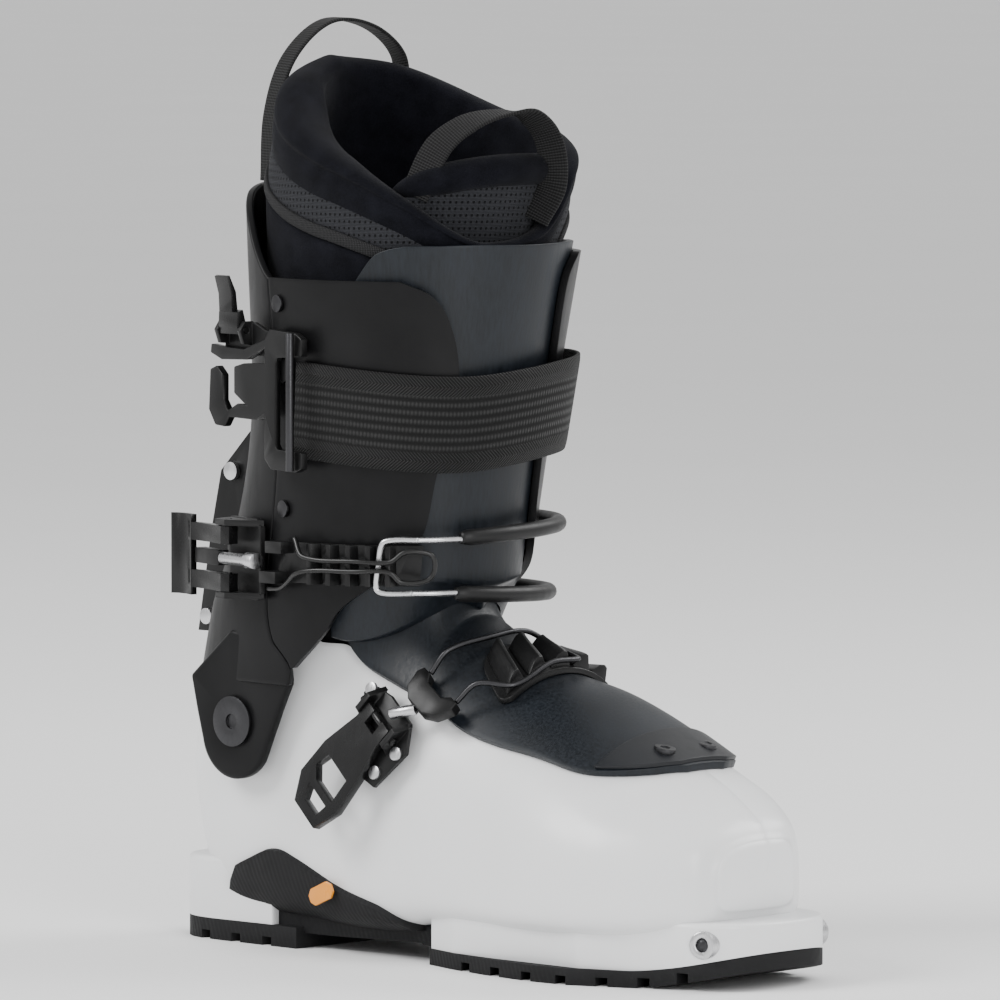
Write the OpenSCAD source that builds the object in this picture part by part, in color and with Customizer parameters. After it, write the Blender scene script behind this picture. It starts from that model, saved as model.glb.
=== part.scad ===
// Alpine touring boot, right foot: a plastic lower shell on a rubber sole, a cuff that flexes about
// two ankle bolts and locks to the heel with a walk bar, a wrapping tongue, a liner, a power strap and
// two cable buckles.
// Boot axes: +X from the heel to the toe, +Y to the inner side of the foot, +Z up, floor at z = 0.
// x = 0 is the back end of the sole. place() moves the finished parts to the row's origin.

/* [Sole] */
// Length of the sole, from heel edge to toe edge
sole_length = 304; // [292:1:316]
// Thickness of the rubber under the heel and toe
rubber = 8.5; // [7:0.5:11]
// Height of the top of the heel ledge
heel_ledge = 33; // [31:0.5:35]
// Height of the top of the toe ledge
toe_ledge = 26; // [25:0.5:30]

/* [Lower shell] */
// Wall of the lower shell
shell_wall = 3.2; // [2.6:0.1:4]
// Height of the ankle bolts above the floor
pivot_z = 90; // [86:1:94]
// Distance of the ankle bolts from the heel end
pivot_x = 52; // [48:1:56]
// Radius of the ankle bolt's shoulder
pivot_r = 7; // [5:0.5:8]

/* [Cuff] */
// Wall of the cuff frame and its wraps
cuff_wall = 3; // [2.4:0.1:3.6]
// Half width of the cuff at the ankle
cuff_half = 46; // [45:0.5:48]
// Height of the webbing of the power strap
strap_h = 38; // [32:1:42]

/* [Liner] */
// Thickness of the liner
liner_wall = 6; // [4:0.5:7]
// Height of the liner's back above the floor
liner_top = 353; // [340:1:366]

/* [Hidden] */

$fn = 40;
// The row's origin: middle of the whole boot's box, on the floor
origin_x = 149.5;
origin_y = -3.7;
// Fan centre: shell sections turn about it behind the instep and stand upright in front of it
fan_x = 140;
fan_z = 150;
// Upright sections reach from the fan to the front of the toe box
fore = (sole_length - 15.5 - fan_x) / 148.5;
fit = 0.05;
gap = 0.3;

// Shell stations: fan angle below 0, distance forward of the fan from 0 to 148.
// Depth of the ridge, of the widest line and of the underside below the fan centre.
ridge = [[-80, 0], [-40, 6], [0, 19], [20, 33], [40, 40], [60, 45.5], [76, 52], [95, 61.5],
         [112, 70.5], [125, 76.5], [138, 84], [145, 89], [148, 94]];
waist = [[-80, 72], [-60, 95], [-40, 110], [-20, 112], [0, 112], [40, 114], [120, 112], [148, 110]];
under = [[-80, 122], [-72, 131], [-67, 141], [-63, 153], [-58, 162], [-52, 170.5], [-46, 177],
         [-40, 176], [-30, 159], [-20, 147], [0, 137], [30, 134], [70, 134], [110, 133], [132, 130],
         [144, 127], [148, 121]];
// Half widths on the outer and the inner side of the foot, and how far the ridge leans inwards
outer_w = [[-80, 36], [-60, 37], [-45, 38], [-20, 40], [0, 43], [30, 48], [60, 52.5], [85, 54.5],
           [105, 52.5], [122, 47], [135, 40], [144, 33], [148, 25]];
inner_w = [[-80, 36], [-60, 37], [-20, 37], [0, 38], [30, 41], [60, 46], [85, 48], [105, 46.5],
           [122, 42], [135, 35.5], [144, 28], [148, 20]];
lean_y = [[-80, 0], [-20, 2], [20, 6], [60, 11], [100, 11], [135, 7], [148, 4]];
// Squareness of the upper and the lower half of a section
square_up = [[-80, 2.2], [0, 2.1], [60, 2.1], [100, 2.3], [125, 2.7], [148, 3]];
square_low = [[-80, 2.2], [-68, 2.2], [-60, 2.9], [-50, 3], [-30, 4], [0, 4.5], [148, 5]];

// Cuff slices by height: back edge, front edge and half width
cuff_back = [[60, 8], [100, 7], [124, 12], [137, 16], [165, 29], [197, 38], [230, 41], [300, 39]];
cuff_front = [[60, 140], [100, 140], [137, 147], [165, 151], [197, 156], [230, 162], [265, 169],
              [300, 177]];
cuff_width = [[60, cuff_half], [110, cuff_half], [137, 47], [165, 48], [197, 49.5], [230, 52],
              [265, 55], [300, 57]];
cuff_square = 2.15;

// ---------- curves, points and closed solids ----------

function stretch_of(x, t, i = 0) = (i >= len(t) - 2 || x < t[i + 1][0]) ? i : stretch_of(x, t, i + 1);
function slope_at(t, i) =
  let (a = max(i - 1, 0), b = min(i + 1, len(t) - 1)) (t[b][1] - t[a][1]) / (t[b][0] - t[a][0]);
// Smooth curve through the stations of t, level beyond its ends
function curve(t, x0) =
  let (x = max(t[0][0], min(t[len(t) - 1][0], x0)), i = stretch_of(x, t), h = t[i + 1][0] - t[i][0],
       u = (x - t[i][0]) / h)
  (2 * u ^ 3 - 3 * u ^ 2 + 1) * t[i][1] + (u ^ 3 - 2 * u ^ 2 + u) * h * slope_at(t, i)
  + (3 * u ^ 2 - 2 * u ^ 3) * t[i + 1][1] + (u ^ 3 - u ^ 2) * h * slope_at(t, i + 1);
function mix(a, b, t) = a + (b - a) * t;
function unit(v) = v / norm(v);
function steps(a, b, n) = [for (i = [0:n]) mix(a, b, i / n)];

// Point of the shell's surface: station k, angle a from the ridge over the outer side, offset off
function shell_point(k, a, off = 0) =
  let (c = cos(a), s = sin(a), up = c > 0, n = curve(up ? square_up : square_low, k),
       qm = curve(waist, k), q_far = up ? curve(ridge, k) - off : curve(under, k) + off,
       q = qm + (q_far - qm) * abs(c) ^ (2 / n),
       w = curve(s > 0 ? outer_w : inner_w, k) + off,
       y = -sign(s) * w * abs(s) ^ (2 / n) + curve(lean_y, k) * max(c, 0) * (1 - abs(s) ^ 3),
       turn = k < 0 ? -k : 0)
  [fan_x + max(k, 0) * fore - q * sin(turn), y, fan_z - q * cos(turn)];

// Point of the cuff's surface: height z, angle a from the front over the outer side, offset off
function cuff_point(z, a, off = 0) =
  let (c = cos(a), s = sin(a), b = curve(cuff_back, z) - off, f = curve(cuff_front, z) + off,
       w = curve(cuff_width, z) + off)
  [(b + f) / 2 + (f - b) / 2 * sign(c) * abs(c) ^ (2 / cuff_square),
   -w * sign(s) * abs(s) ^ (2 / cuff_square), z];

function flat(v) = [for (row = v) for (p = row) p];
function tri_volume(p, t) = cross(p[t[0]], p[t[1]]) * p[t[2]];
// A closed solid from triangles that all turn the same way
module solid(points, tris) {
  volume = [for (t = tris) 1] * [for (t = tris) tri_volume(points, t)];
  polyhedron(points, volume < 0 ? tris : [for (t = tris) [t[0], t[2], t[1]]]);
}
// Closed solid through rings of the same count, with a fan at each end
module loft(rings) {
  n = len(rings[0]);
  m = len(rings);
  ones = [for (p = rings[0]) 1];
  points = concat(flat(rings), [ones * rings[0] / n, ones * rings[m - 1] / n]);
  sides = [for (i = [0:m - 2]) for (j = [0:n - 1]) let (a = i * n + j, b = i * n + (j + 1) % n)
    each [[a, b, b + n], [a, b + n, a + n]]];
  ends = [for (j = [0:n - 1]) let (b = (j + 1) % n, q = (m - 1) * n)
    each [[b, j, m * n], [q + j, q + b, m * n + 1]]];
  solid(points, concat(sides, ends));
}
// Closed solid between two sheets of points of the same size
module slab(o, i) {
  m = len(o);
  n = len(o[0]);
  k = m * n;
  quads = [for (r = [0:m - 2]) for (c = [0:n - 2]) let (a = r * n + c)
    each [[a, a + 1, a + n + 1], [a, a + n + 1, a + n]]];
  back = [for (t = quads) [t[0] + k, t[2] + k, t[1] + k]];
  rim = concat([for (c = [0:n - 2]) [c, c + 1]], [for (r = [0:m - 2]) [r * n + n - 1, r * n + 2 * n - 1]],
               [for (c = [n - 1:-1:1]) [(m - 1) * n + c, (m - 1) * n + c - 1]],
               [for (r = [m - 1:-1:1]) [r * n, (r - 1) * n]]);
  walls = [for (e = rim) each [[e[1], e[0], e[0] + k], [e[1], e[0] + k, e[1] + k]]];
  solid(concat(flat(o), flat(i)), concat(quads, back, walls));
}
// Round bar along a path
module tube(path, r, n = 8) {
  last = len(path) - 1;
  loft([for (i = [0:last])
    let (t = unit(path[min(i + 1, last)] - path[max(i - 1, 0)]),
         u = unit(cross(t, abs(t[2]) > 0.8 ? [1, 0, 0] : [0, 0, 1])), v = cross(t, u))
    [for (j = [0:n - 1]) path[i] + r * (cos(360 * j / n) * u + sin(360 * j / n) * v)]]);
}
// Flat band along a path: wide along a given direction, thick across it
module band(path, wide, w, t) {
  last = len(path) - 1;
  loft([for (i = [0:last])
    let (d = unit(path[min(i + 1, last)] - path[max(i - 1, 0)]), v = unit(wide - (wide * d) * d),
         u = cross(d, v))
    [for (s = [[-1, -1], [1, -1], [1, 1], [-1, 1]]) path[i] + v * s[0] * w / 2 + u * s[1] * t / 2]]);
}
// Points of a smooth bend through three or more corners, each corner rounded by a quadratic arc
function bend(p, n = 5) = concat([p[0]],
  [for (i = [1:len(p) - 2]) let (a = (p[i - 1] + p[i]) / 2, b = (p[i] + p[i + 1]) / 2)
    for (u = steps(0, 1, n)) mix(mix(a, p[i], u), mix(p[i], b, u), u)], [p[len(p) - 1]]);

function octagon(w, h, c) = [[c - w / 2, -h / 2], [w / 2 - c, -h / 2], [w / 2, c - h / 2],
  [w / 2, h / 2 - c], [w / 2 - c, h / 2], [c - w / 2, h / 2], [-w / 2, h / 2 - c], [-w / 2, c - h / 2]];
// Plate with cut corners, its underside at z = 0
module plate(w, h, t, c = 2) {
  linear_extrude(t) polygon(octagon(w, h, c));
}
// Outline in the boot's side view, given thickness across from y0 to y1
module side_plate(outline, y0, y1) {
  translate([0, y1, 0]) rotate([90, 0, 0]) linear_extrude(y1 - y0) polygon(outline);
}
module cross_pin(x, z, r, y0, y1) {
  translate([x, y1, z]) rotate([90, 0, 0]) cylinder(r = r, h = y1 - y0);
}
module place() {
  translate([-origin_x, -origin_y, 0]) children();
}
// One faceted body
module body() {
  resize([0, 0, 0]) children();
}

// ---------- shell and sole ----------

// Solid foot of the shell at an offset, from the ankle rim to the toe
module foot(off, first, last, rows, n) {
  back = [for (k = steps(first, 0, rows)) k];
  front = [for (i = [1:rows]) last * (1 - (1 - i / rows) ^ 1.6)];
  loft([for (k = concat(back, front)) [for (j = [0:n - 1]) shell_point(k, 360 * j / n, off)]]);
}
function arc(cx, cy, r, a0, a1, n = 6) = [for (a = steps(a0, a1, n)) [cx + r * cos(a), cy + r * sin(a)]];
sole_end = sole_length;
heel_half = 33;
// Quarter-round corner of an end of the sole, squarer than a circle
function end_round(cx, rx, ry, n, a0, a1) = [for (a = steps(a0, a1, 12))
  [cx + rx * sign(cos(a)) * abs(cos(a)) ^ (2 / n), ry * sign(sin(a)) * abs(sin(a)) ^ (2 / n)]];
toe_plan = concat([[sole_end - 64, -50]], end_round(sole_end - 40, 40, 37, 2.8, -80, 80),
  [[sole_end - 64, 43]]);
heel_plan = concat(end_round(40, 40, heel_half, 3.4, 96, 264),
  [[74, -heel_half - 1.5], [74, heel_half]]);
fore_plan = concat([[150, -38], [168, -44], [190, -49], [215, -52.5], [235, -52]], toe_plan,
  [[235, 46], [215, 46], [190, 43], [168, 39], [150, 35]]);
// Rocker: the toe end of the sole rises from here
rocker_x = 258;
rocker_rise = 8;
function tread_z(x) = x < rocker_x ? 0 : rocker_rise * ((x - rocker_x) / (sole_end - rocker_x)) ^ 1.5;
// Height where the white shell ends and the rubber starts, along the fore part
function joint_z(x) = rubber - 2 + tread_z(x);

joint_line = [for (x = steps(rocker_x, sole_end + 2, 8)) [x, joint_z(x)]];
// White toe block: above the joint with the rubber
module above_joint(x0, top) {
  side_plate(concat([[x0, joint_z(x0)]], joint_line, [[sole_end + 2, top], [x0, top]]), -70, 70);
}
// Fore rubber: from the tread up to the joint
module below_joint(x0) {
  low = [for (i = [8:-1:0]) [joint_line[i][0], tread_z(joint_line[i][0])]];
  side_plate(concat([[x0, 0], [x0, joint_z(x0) - fit]], [for (p = joint_line) [p[0], p[1] - fit]], low),
    -70, 70);
}

// Region above the shell's rim, seen from the side: ankle rim, then the throat over the instep
rim = [[-20, 96], [15, 109], [60, 121], [97, 126], [112, 124], [150, 107], [186, 90], [214, 88],
       [236, 97], [250, 200], [-20, 200]];
socket_x = sole_end - 15;
socket_z = 18;
socket_r = 2.75;
bush_r = 5.5;

module lower_shell() color("whitesmoke") place() difference() {
  body() difference() {
    union() {
      foot(0, -74, 148, 14, 34);
      intersection() {
        above_joint(150.3, toe_ledge);
        translate([0, 0, 5]) linear_extrude(40) union() {
          polygon(toe_plan);
          intersection() {
            polygon(fore_plan);
            translate([140, -47]) square([130, 88]);
          }
        }
      }
      translate([0, 0, rubber]) linear_extrude(heel_ledge - rubber) intersection() {
        polygon(heel_plan);
        translate([-5, -40]) square([61, 80]);
      }
    }
    foot(-shell_wall, -78, 145.5, 9, 24);
    side_plate(rim, -60, 60);
  }
  cross_pin(pivot_x, pivot_z, 5, -60, 60);
  cross_pin(socket_x, socket_z, bush_r + fit, -60, 60);
  translate([socket_x - 11 - fit, -12 - fit, socket_z - 3 - fit]) cube([22 + 2 * fit, 24 + 2 * fit, 6 + 2 * fit]);
  translate([-5, -14.1, 13]) cube([9.1, 28.2, 17.1]);
  translate([-8, 0, 80]) rotate([0, 90, 0]) cylinder(r = 2, h = 20);
}

// Lugs across the tread: cuts between them, as boxes
module lug_cuts() {
  for (x = [22, 40, 58]) for (s = [-1, 1])
    translate([x, s * 30, 0]) rotate([0, 0, s * 14]) cube([5, 30, 7], center = true);
  for (x = [176, 194, 212, 230, 248, 266, 283]) for (s = [-1, 1])
    translate([x, s * 44, tread_z(x)]) rotate([0, 0, -s * 16]) cube([5, 44, 7], center = true);
  for (x = [185, 221, 257]) translate([x, 0, tread_z(x)]) cube([4, 40, 5], center = true);
}
// Side wings of the arch: station limits and the angle of the wing's top edge
wing_edge = [[-39, 116], [-35, 101], [-29, 98], [-20, 101], [-8, 109], [-4, 120], [-1, 142], [2, 172]];
function wing_top(k) = curve(wing_edge, k);
module arch_skin() {
  for (s = [-1, 1]) {
    ks = steps(-39, 2, 14);
    slab([for (k = ks) [for (a = steps(wing_top(k), 182, 6)) shell_point(k, s * a, 2.4)]],
         [for (k = ks) [for (a = steps(wing_top(k), 182, 6)) shell_point(k, s * a, -0.5)]]);
  }
}
module outsole() color("#141414") place() body() difference() {
  union() {
    intersection() {
      below_joint(150);
      translate([0, 0, -1]) linear_extrude(40) polygon(fore_plan);
    }
    linear_extrude(rubber - fit) polygon(heel_plan);
    arch_skin();
    translate([60, -30, 6]) cube([90, 58, 9]);
  }
  foot(fit * 2, -74, 148, 14, 34);
  translate([0, 0, rubber - fit]) linear_extrude(30) intersection() {
    polygon(heel_plan);
    translate([-5, -40]) square([61.2, 80]);
  }
  lug_cuts();
  side_plate([[74, -1], [80, -1], [92, 6], [138, 7], [150, -1], [74.1, -2]], -70, 70);
}
module sole_badge() color("darkorange") place()
  translate([97, -43.3, 24.5]) rotate([90, -24, 0]) plate(13, 7, 1.2, 2);

module toe_inserts() color("silver") place() difference() {
  union() {
    cross_pin(socket_x, socket_z, bush_r, -33.4, 33.4);
    translate([socket_x - 11, -12, socket_z - 3]) cube([22, 24, 6]);
  }
  for (s = [-1, 1]) translate([socket_x, s * 33.5, socket_z]) rotate([s * 90, 0, 0])
    translate([0, 0, -0.1]) cylinder(r = socket_r, h = 4.1);
}
module heel_insert() color("silver") place() difference() {
  translate([0, -14, 13.1]) cube([4, 28, 16.8]);
  for (s = [-1, 1]) translate([-1, s * 8.5 - 1.6, 18]) cube([4, 3.2, 13]);
  translate([-1, 0, 22]) rotate([0, 90, 0]) cylinder(r = 2.2, h = 6);
}
module boot_board() color("dimgray") place() body() intersection() {
  foot(-shell_wall - 0.6, -78, 145.5, 9, 24);
  translate([8, -60, 17]) cube([282, 120, 6]);
}
// Side view of the plane where the liner's soft ankle begins
function ankle_line(x) = fan_z - (fan_x - x) * tan(22);
module liner_foot() color("#20222a") place() body() difference() {
  foot(-shell_wall - 2.2, -70, 141, 12, 24);
  foot(-shell_wall - 1.8 - liner_wall, -74, 134, 7, 20);
  translate([0, -60, 0]) cube([300, 120, 23.2]);
  side_plate([for (p = rim) [p[0], p[1] > 150 ? p[1] : min(p[1] - 2, ankle_line(p[0]) - 0.8)]], -60, 60);
}
module footbed() color("slategray") place() body() intersection() {
  foot(-shell_wall - 2.2 - liner_wall, -74, 134, 7, 20);
  translate([14, -60, 23.4]) cube([270, 120, 5]);
}

// Sheet on the shell: stations k0 to k1, angle limits as functions of the station
module shell_sheet(ks, from, to, n, o, i) {
  slab([for (k = ks) [for (a = steps(from(k), to(k), n)) shell_point(k, a, o)]],
       [for (k = ks) [for (a = steps(from(k), to(k), n)) shell_point(k, a, i)]]);
}
module throat_gasket() color("#1c2026") place() body()
  shell_sheet(steps(-66, 30, 12), function(k) 74, function(k) -74, 14, -shell_wall - 0.5, -shell_wall - 1.5);

tongue_outer = [[-56, 59], [-27, 51], [4, 47], [38, 47], [68, 45.5], [86, 43], [98, 36], [107, 24], [112, 8]];
tongue_inner = [[-56, 60], [-27, 54], [4, 50], [60, 48], [86, 45], [98, 38], [107, 25], [112, 9]];
tongue_gap = 0.4;
tongue_wall = 2.8;
module instep_tongue() color("#2b323a") place() body()
  shell_sheet(steps(-56, 112, 24), function(k) curve(tongue_outer, k), function(k) -curve(tongue_inner, k),
    12, tongue_gap + tongue_wall, tongue_gap);
plate_k = [92, 111];
module toe_plate() color("#23282f") place() difference() {
  body() shell_sheet(steps(plate_k[0], plate_k[1], 6), function(k) curve(tongue_outer, k) - 1,
    function(k) 1 - curve(tongue_inner, k), 10,
    tongue_gap + tongue_wall + 1.6, tongue_gap + tongue_wall + 0.1);
  for (y = bolt_y) translate([bolt_at[0], y, 60]) rotate([0, bolt_tilt, 0]) cylinder(r = 4.6, h = 60);
}
bolt_at = [236, 0];
bolt_y = [-4, 20];
bolt_tilt = 14;
bolt_seat = 27.5;
module toe_plate_bolts() color("#101010") place()
  for (y = bolt_y) translate([bolt_at[0], y, 60]) rotate([0, bolt_tilt, 0]) translate([0, 0, bolt_seat])
    difference() {
      cylinder(r = 4.2, h = 2.4);
      translate([0, 0, 1]) cylinder(r = 2.2, h = 2, $fn = 6);
    }

// ---------- ankle bolts and walk lock ----------

arm_y = [cuff_half - 3, cuff_half + 0.3];
module pivot_bolts() color("#2a2a2a") place() for (s = [-1, 1]) mirror([0, s < 0 ? 0 : 1, 0]) {
  cross_pin(pivot_x, pivot_z, 4.95, -arm_y[0], -33);
  cross_pin(pivot_x, pivot_z, pivot_r, -arm_y[1] - 0.4, -arm_y[0]);
  difference() {
    cross_pin(pivot_x, pivot_z, pivot_r + 3, -arm_y[1] - 2.4, -arm_y[1] - 0.4);
    cross_pin(pivot_x, pivot_z, 3, -arm_y[1] - 4, -arm_y[1] - 1.2);
  }
}
anchor = [0, 94];
anchor_r = 2.5;
bar_lean = 11;
module lock_anchor() color("silver") place() {
  difference() {
    union() {
      for (s = [-1, 1]) translate([0, s * 7.2, 0])
        side_plate([[-4.5, 90], [-4.5, 97], [-2.5, 98.6], [2.5, 98.6], [8.5, 90], [2.2, 78], [-1, 78]],
                   -1.6, 1.6);
      translate([-1.2, -8.8, 78]) cube([2.6, 17.6, 5]);
    }
    cross_pin(anchor[0], anchor[1], anchor_r, -20, 20);
  }
  cross_pin(anchor[0], anchor[1], anchor_r - 0.01, -9.6, 9.6);
}
module lock_bar() color("silver") place() translate([anchor[0], 0, anchor[1]]) rotate([0, bar_lean, 0])
  difference() {
    union() {
      rotate([90, 0, 0]) cylinder(r = 5, h = 9.6, center = true);
      translate([-2, -4.8, 0]) cube([4, 9.6, 66]);
    }
    rotate([90, 0, 0]) cylinder(r = anchor_r + fit, h = 20, center = true);
    translate([-5, -2.6, 44]) cube([10, 5.2, 9]);
  }

// ---------- cuff ----------

// Sheet on the cuff: heights zs, angle limits as functions of the height
module cuff_sheet(zs, from, to, n, o, i) {
  slab([for (z = zs) [for (a = steps(from(z), to(z), n)) cuff_point(z, a, o)]],
       [for (z = zs) [for (a = steps(from(z), to(z), n)) cuff_point(z, a, i)]]);
}
seam = [[100, 84], [113, 84], [124, 92], [144, 98], [160, 101], [200, 105], [270, 112]];
wrap_front = [[113, 82.5], [128, 72], [138, 67], [147, 56], [152, 46], [168, 38], [191, 35], [210, 31],
              [232, 30], [252, 36], [262, 44], [267, 56]];
inner_front = [[113, 82.5], [128, 72], [138, 67], [147, 52], [156, 38], [168, 28], [191, 24],
               [232, 22], [258, 20], [270, 22], [277, 30]];
// Top edge of the frame around the back, falling to the wraps at the sides
frame_top = [[100, 264], [112, 267], [122, 276], [136, 291], [152, 300], [180, 304]];
function frame_point(u, t, off) =
  let (z0 = mix(106, 266, u), a = mix(curve(seam, z0), 360 - curve(seam, z0), t),
       b = a > 180 ? 360 - a : a)
  cuff_point(mix(106, curve(frame_top, b), u), a, off);
arm = concat([[28, 107], [31, 94]], arc(pivot_x, pivot_z - 5, 18, 190, 325, 8),
             [[77, 97], [82, 107], [81, 113], [72, 124], [50, 126]]);
module cuff_frame() color("#0c0c0d") place() difference() {
  body() difference() {
    union() {
      slab([for (u = steps(0, 1, 14)) [for (t = steps(0, 1, 22)) frame_point(u, t, cuff_wall)]],
           [for (u = steps(0, 1, 14)) [for (t = steps(0, 1, 22)) frame_point(u, t, 0)]]);
      for (s = [0, 1]) mirror([0, s, 0]) side_plate(arm, -arm_y[1], -arm_y[0]);
    }
    translate([-20, -12, 80]) cube([40, 24, 49]);
    translate([-20, -5.8, 128]) cube([44, 11.6, 18]);
  }
  for (s = [0, 1]) mirror([0, s, 0]) cross_pin(pivot_x, pivot_z, pivot_r + fit, -60, -20);
}
module wrap(front, z1) {
  zs = steps(113.2, z1, 18);
  cuff_sheet(zs, function(z) curve(front, z), function(z) curve(seam, z) - 0.8, 12, cuff_wall, 0);
}
module cuff_wrap_lateral() color("#1b1b1d") place() body() wrap(wrap_front, 267);
module cuff_wrap_medial() color("#1b1b1d") place() body() mirror([0, 1, 0]) wrap(inner_front, 277);
module cuff_rivets() color("silver") place() for (p = [[1, 176], [1, 257], [-1, 186], [-1, 257]])
  translate(cuff_point(p[1], p[0] * (curve(seam, p[1]) - 6), cuff_wall)) rotate([0, 0, p[0] > 0 ? -14 : 194])
    rotate([90, 0, 0]) translate([0, 0, 0.1]) cylinder(r = 3.4, h = 1.2);

// Shin tongue: on the cuff down to the ankle, then over the shell to its lower edge
shin_k = [[0, -3], [20, -15], [30, -22], [52, -46], [76, -60]];
shin_a = [[0, 0], [20, 12], [30, 24], [52, 50], [76, 64]];
shin_top = [[0, 281], [40, 281], [66, 278], [76, 264]];
shin_low = [[0, 146], [40, 150], [76, 152]];
function shin_point(u, a, off_cuff, off_shell) =
  let (b = abs(a), top = curve(shin_top, b), low = curve(shin_low, b))
  u < 0.75 ? cuff_point(mix(top, low, u / 0.75), a, off_cuff)
  : mix(cuff_point(low, a, off_cuff),
        shell_point(curve(shin_k, b), sign(a) * curve(shin_a, b), off_shell), (u - 0.75) * 4);
module shin_tongue() color("#2b323a") place() body()
  slab([for (u = steps(0, 1, 16)) [for (a = steps(76, -76, 20)) shin_point(u, a, -0.6, 6.2)]],
       [for (u = steps(0, 1, 16)) [for (a = steps(76, -76, 20)) shin_point(u, a, -3.2, 3.8)]]);

// ---------- walk lock housing and lever ----------

housing = [[-3, 121], [11, 121], [13, 133], [22, 158], [30, 184], [34, 203], [27, 203], [10, 186], [4, 160]];
lever_pin = [17, 186];
module lock_housing() color("#131313") place() difference() {
  union() {
    for (s = [-1, 1]) translate([0, s * 9.6, 0]) side_plate(housing, -1.7, 1.7);
    side_plate([[-3, 121], [-1, 121], [1, 132], [-1.2, 132]], -8, 8);
    side_plate([[30.5, 186], [33, 195], [34, 203], [28, 203]], -8, 8);
  }
  cross_pin(lever_pin[0], lever_pin[1], 2.05, -20, 20);
  cuff_block();
}
module cuff_block() {
  loft([for (z = steps(110, 210, 10)) [for (j = [0:35]) cuff_point(z, 10 * j, cuff_wall + 0.35)]]);
}
module housing_screws() color("silver") place() {
  cross_pin(lever_pin[0], lever_pin[1], 2, -12.4, 12.4);
  for (s = [-1, 1]) cross_pin(lever_pin[0], lever_pin[1], 3.6, s < 0 ? -13.4 : 11.4, s < 0 ? -11.4 : 13.4);
  for (s = [-1, 1]) cross_pin(3, 127, 3.2, s < 0 ? -13.4 : 11.4, s < 0 ? -11.4 : 13.4);
}
module walk_lever() color("#0e0e0e") place() difference() {
  union() {
    side_plate([[12.5, 186], [17, 190.5], [21, 186], [17, 180], [12, 170], [6.2, 152], [3.5, 138],
                [-0.5, 137], [2, 153], [7, 171]], -7.6, 7.6);
    cross_pin(lever_pin[0], lever_pin[1], 4.5, -7.6, 7.6);
  }
  cross_pin(lever_pin[0], lever_pin[1], 2 + fit, -20, 20);
}

// ---------- liner ----------

liner_off = -4.4;
// How far the liner's top edge drops below its back, by angle from the front over the outer side
collar_drop = [[-180, 0], [-140, 5], [-90, 23], [-60, 31], [-30, 43], [-8, 65], [20, 71], [35, 67],
               [60, 53], [90, 37], [130, 18], [150, 8], [180, 0]];
function collar_z(a) = liner_top - curve(collar_drop, a > 180 ? a - 360 : a);
module liner_cuff() color("#191b24") place() body() {
  rows = 10;
  n = 26;
  difference() {
    loft([for (i = [0:rows]) [for (j = [0:n - 1])
      cuff_point_up(mix(172, collar_z(360 * j / n), i / rows), 360 * j / n, liner_off)]]);
    loft([for (i = [-1:rows + 1]) [for (j = [0:n - 1])
      cuff_point_up(mix(172, collar_z(360 * j / n), i / rows), 360 * j / n, liner_off - liner_wall)]]);
  }
}
// The cuff's surface carried on above its own stations along the same lean
function cuff_point_up(z, a, off) =
  let (p = cuff_point(min(z, 300), a, off), more = max(z - 300, 0)) p + [more * 0.2, 0, more];
module liner_ankle() color("#14151b") place() body() {
  n = 28;
  difference() {
    loft([for (i = [0:6]) [for (j = [0:n - 1]) let (a = 360 * j / n) ankle_point(i / 6, a, 0)]]);
    loft([for (i = [-1:7]) [for (j = [0:n - 1]) let (a = 360 * j / n) ankle_point(i / 6, a, -3)]]);
  }
}
function ankle_point(t, a, off) =
  let (s = shell_point(-68, a + (a > 180 ? 0 : 0), off - shell_wall - 3), c = cuff_point(171, a, liner_off - 1.5 + off))
  mix(s + [0, 0, 1.5], c, t);
module liner_tongue() color("#1a1c22") place() body() {
  zs = steps(174, 312, 10);
  slab([for (z = zs) [for (a = steps(58, -58, 12)) liner_tongue_point(z, a, 0)]],
       [for (z = zs) [for (a = steps(58, -58, 12)) liner_tongue_point(z, a, -6)]]);
}
function liner_tongue_point(z, a, off) = cuff_point_up(z, a, liner_off - liner_wall - 1 + off);

module pull_loop_rear() color("#121212") place() body()
  band(bend([[46, -21, 307], [47, -20, 330], [50, -13, 352], [54, 4, 370], [60, 24, 366], [66, 35, 352],
             [68, 32, 334]]), [1, -0.25, 0], 11, 1.4);
module pull_loop_front() color("#121212") place() body()
  band(bend([[141, -37, 303], [148, -31, 320], [154, -21, 329], [161, -9, 334], [167, 1, 334], [169, 11, 322],
             [170, 12, 304], [167, 5, 291]]), [0.9, 0.4, 0], 12, 1.4);
// ---------- power strap and its buckle ----------

strap_mid = [[-150, 216], [-60, 218], [-20, 216], [30, 211], [95, 216]];
strap_out = [[-150, 0.8], [-80, 2], [-45, 5], [-10, 2.2], [30, 0.8], [95, 1.6]];
module power_strap() color("#1a1a1a") place() body() {
  az = steps(93, -150, 30);
  hs = steps(-strap_h / 2, strap_h / 2, 2);
  slab([for (h = hs) [for (a = az) cuff_point(curve(strap_mid, a) + h, a, cuff_wall + curve(strap_out, a) + 2)]],
       [for (h = hs) [for (a = az) cuff_point(curve(strap_mid, a) + h, a, cuff_wall + curve(strap_out, a))]]);
}
module strap_anchor() color("#101010") place() translate(cuff_point(216, -140, cuff_wall))
  rotate([0, 0, 212]) rotate([90, 0, 0]) {
    translate([0, 0, 5.2]) plate(18, strap_h + 8, 2.6, 3);
    for (s = [-1, 1]) translate([0, s * (strap_h / 2 + 2.2), 0.1]) cylinder(r = 1.6, h = 5.2);
  }

// Local frame on the cuff: local X forward along it, local Y up, local Z out of the surface
module on_cuff(p, yaw) {
  translate(p) rotate([0, 0, yaw]) rotate([90, 0, 0]) children();
}
strap_at = [97, -60.5, 218];
strap_yaw = -7;
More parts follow.
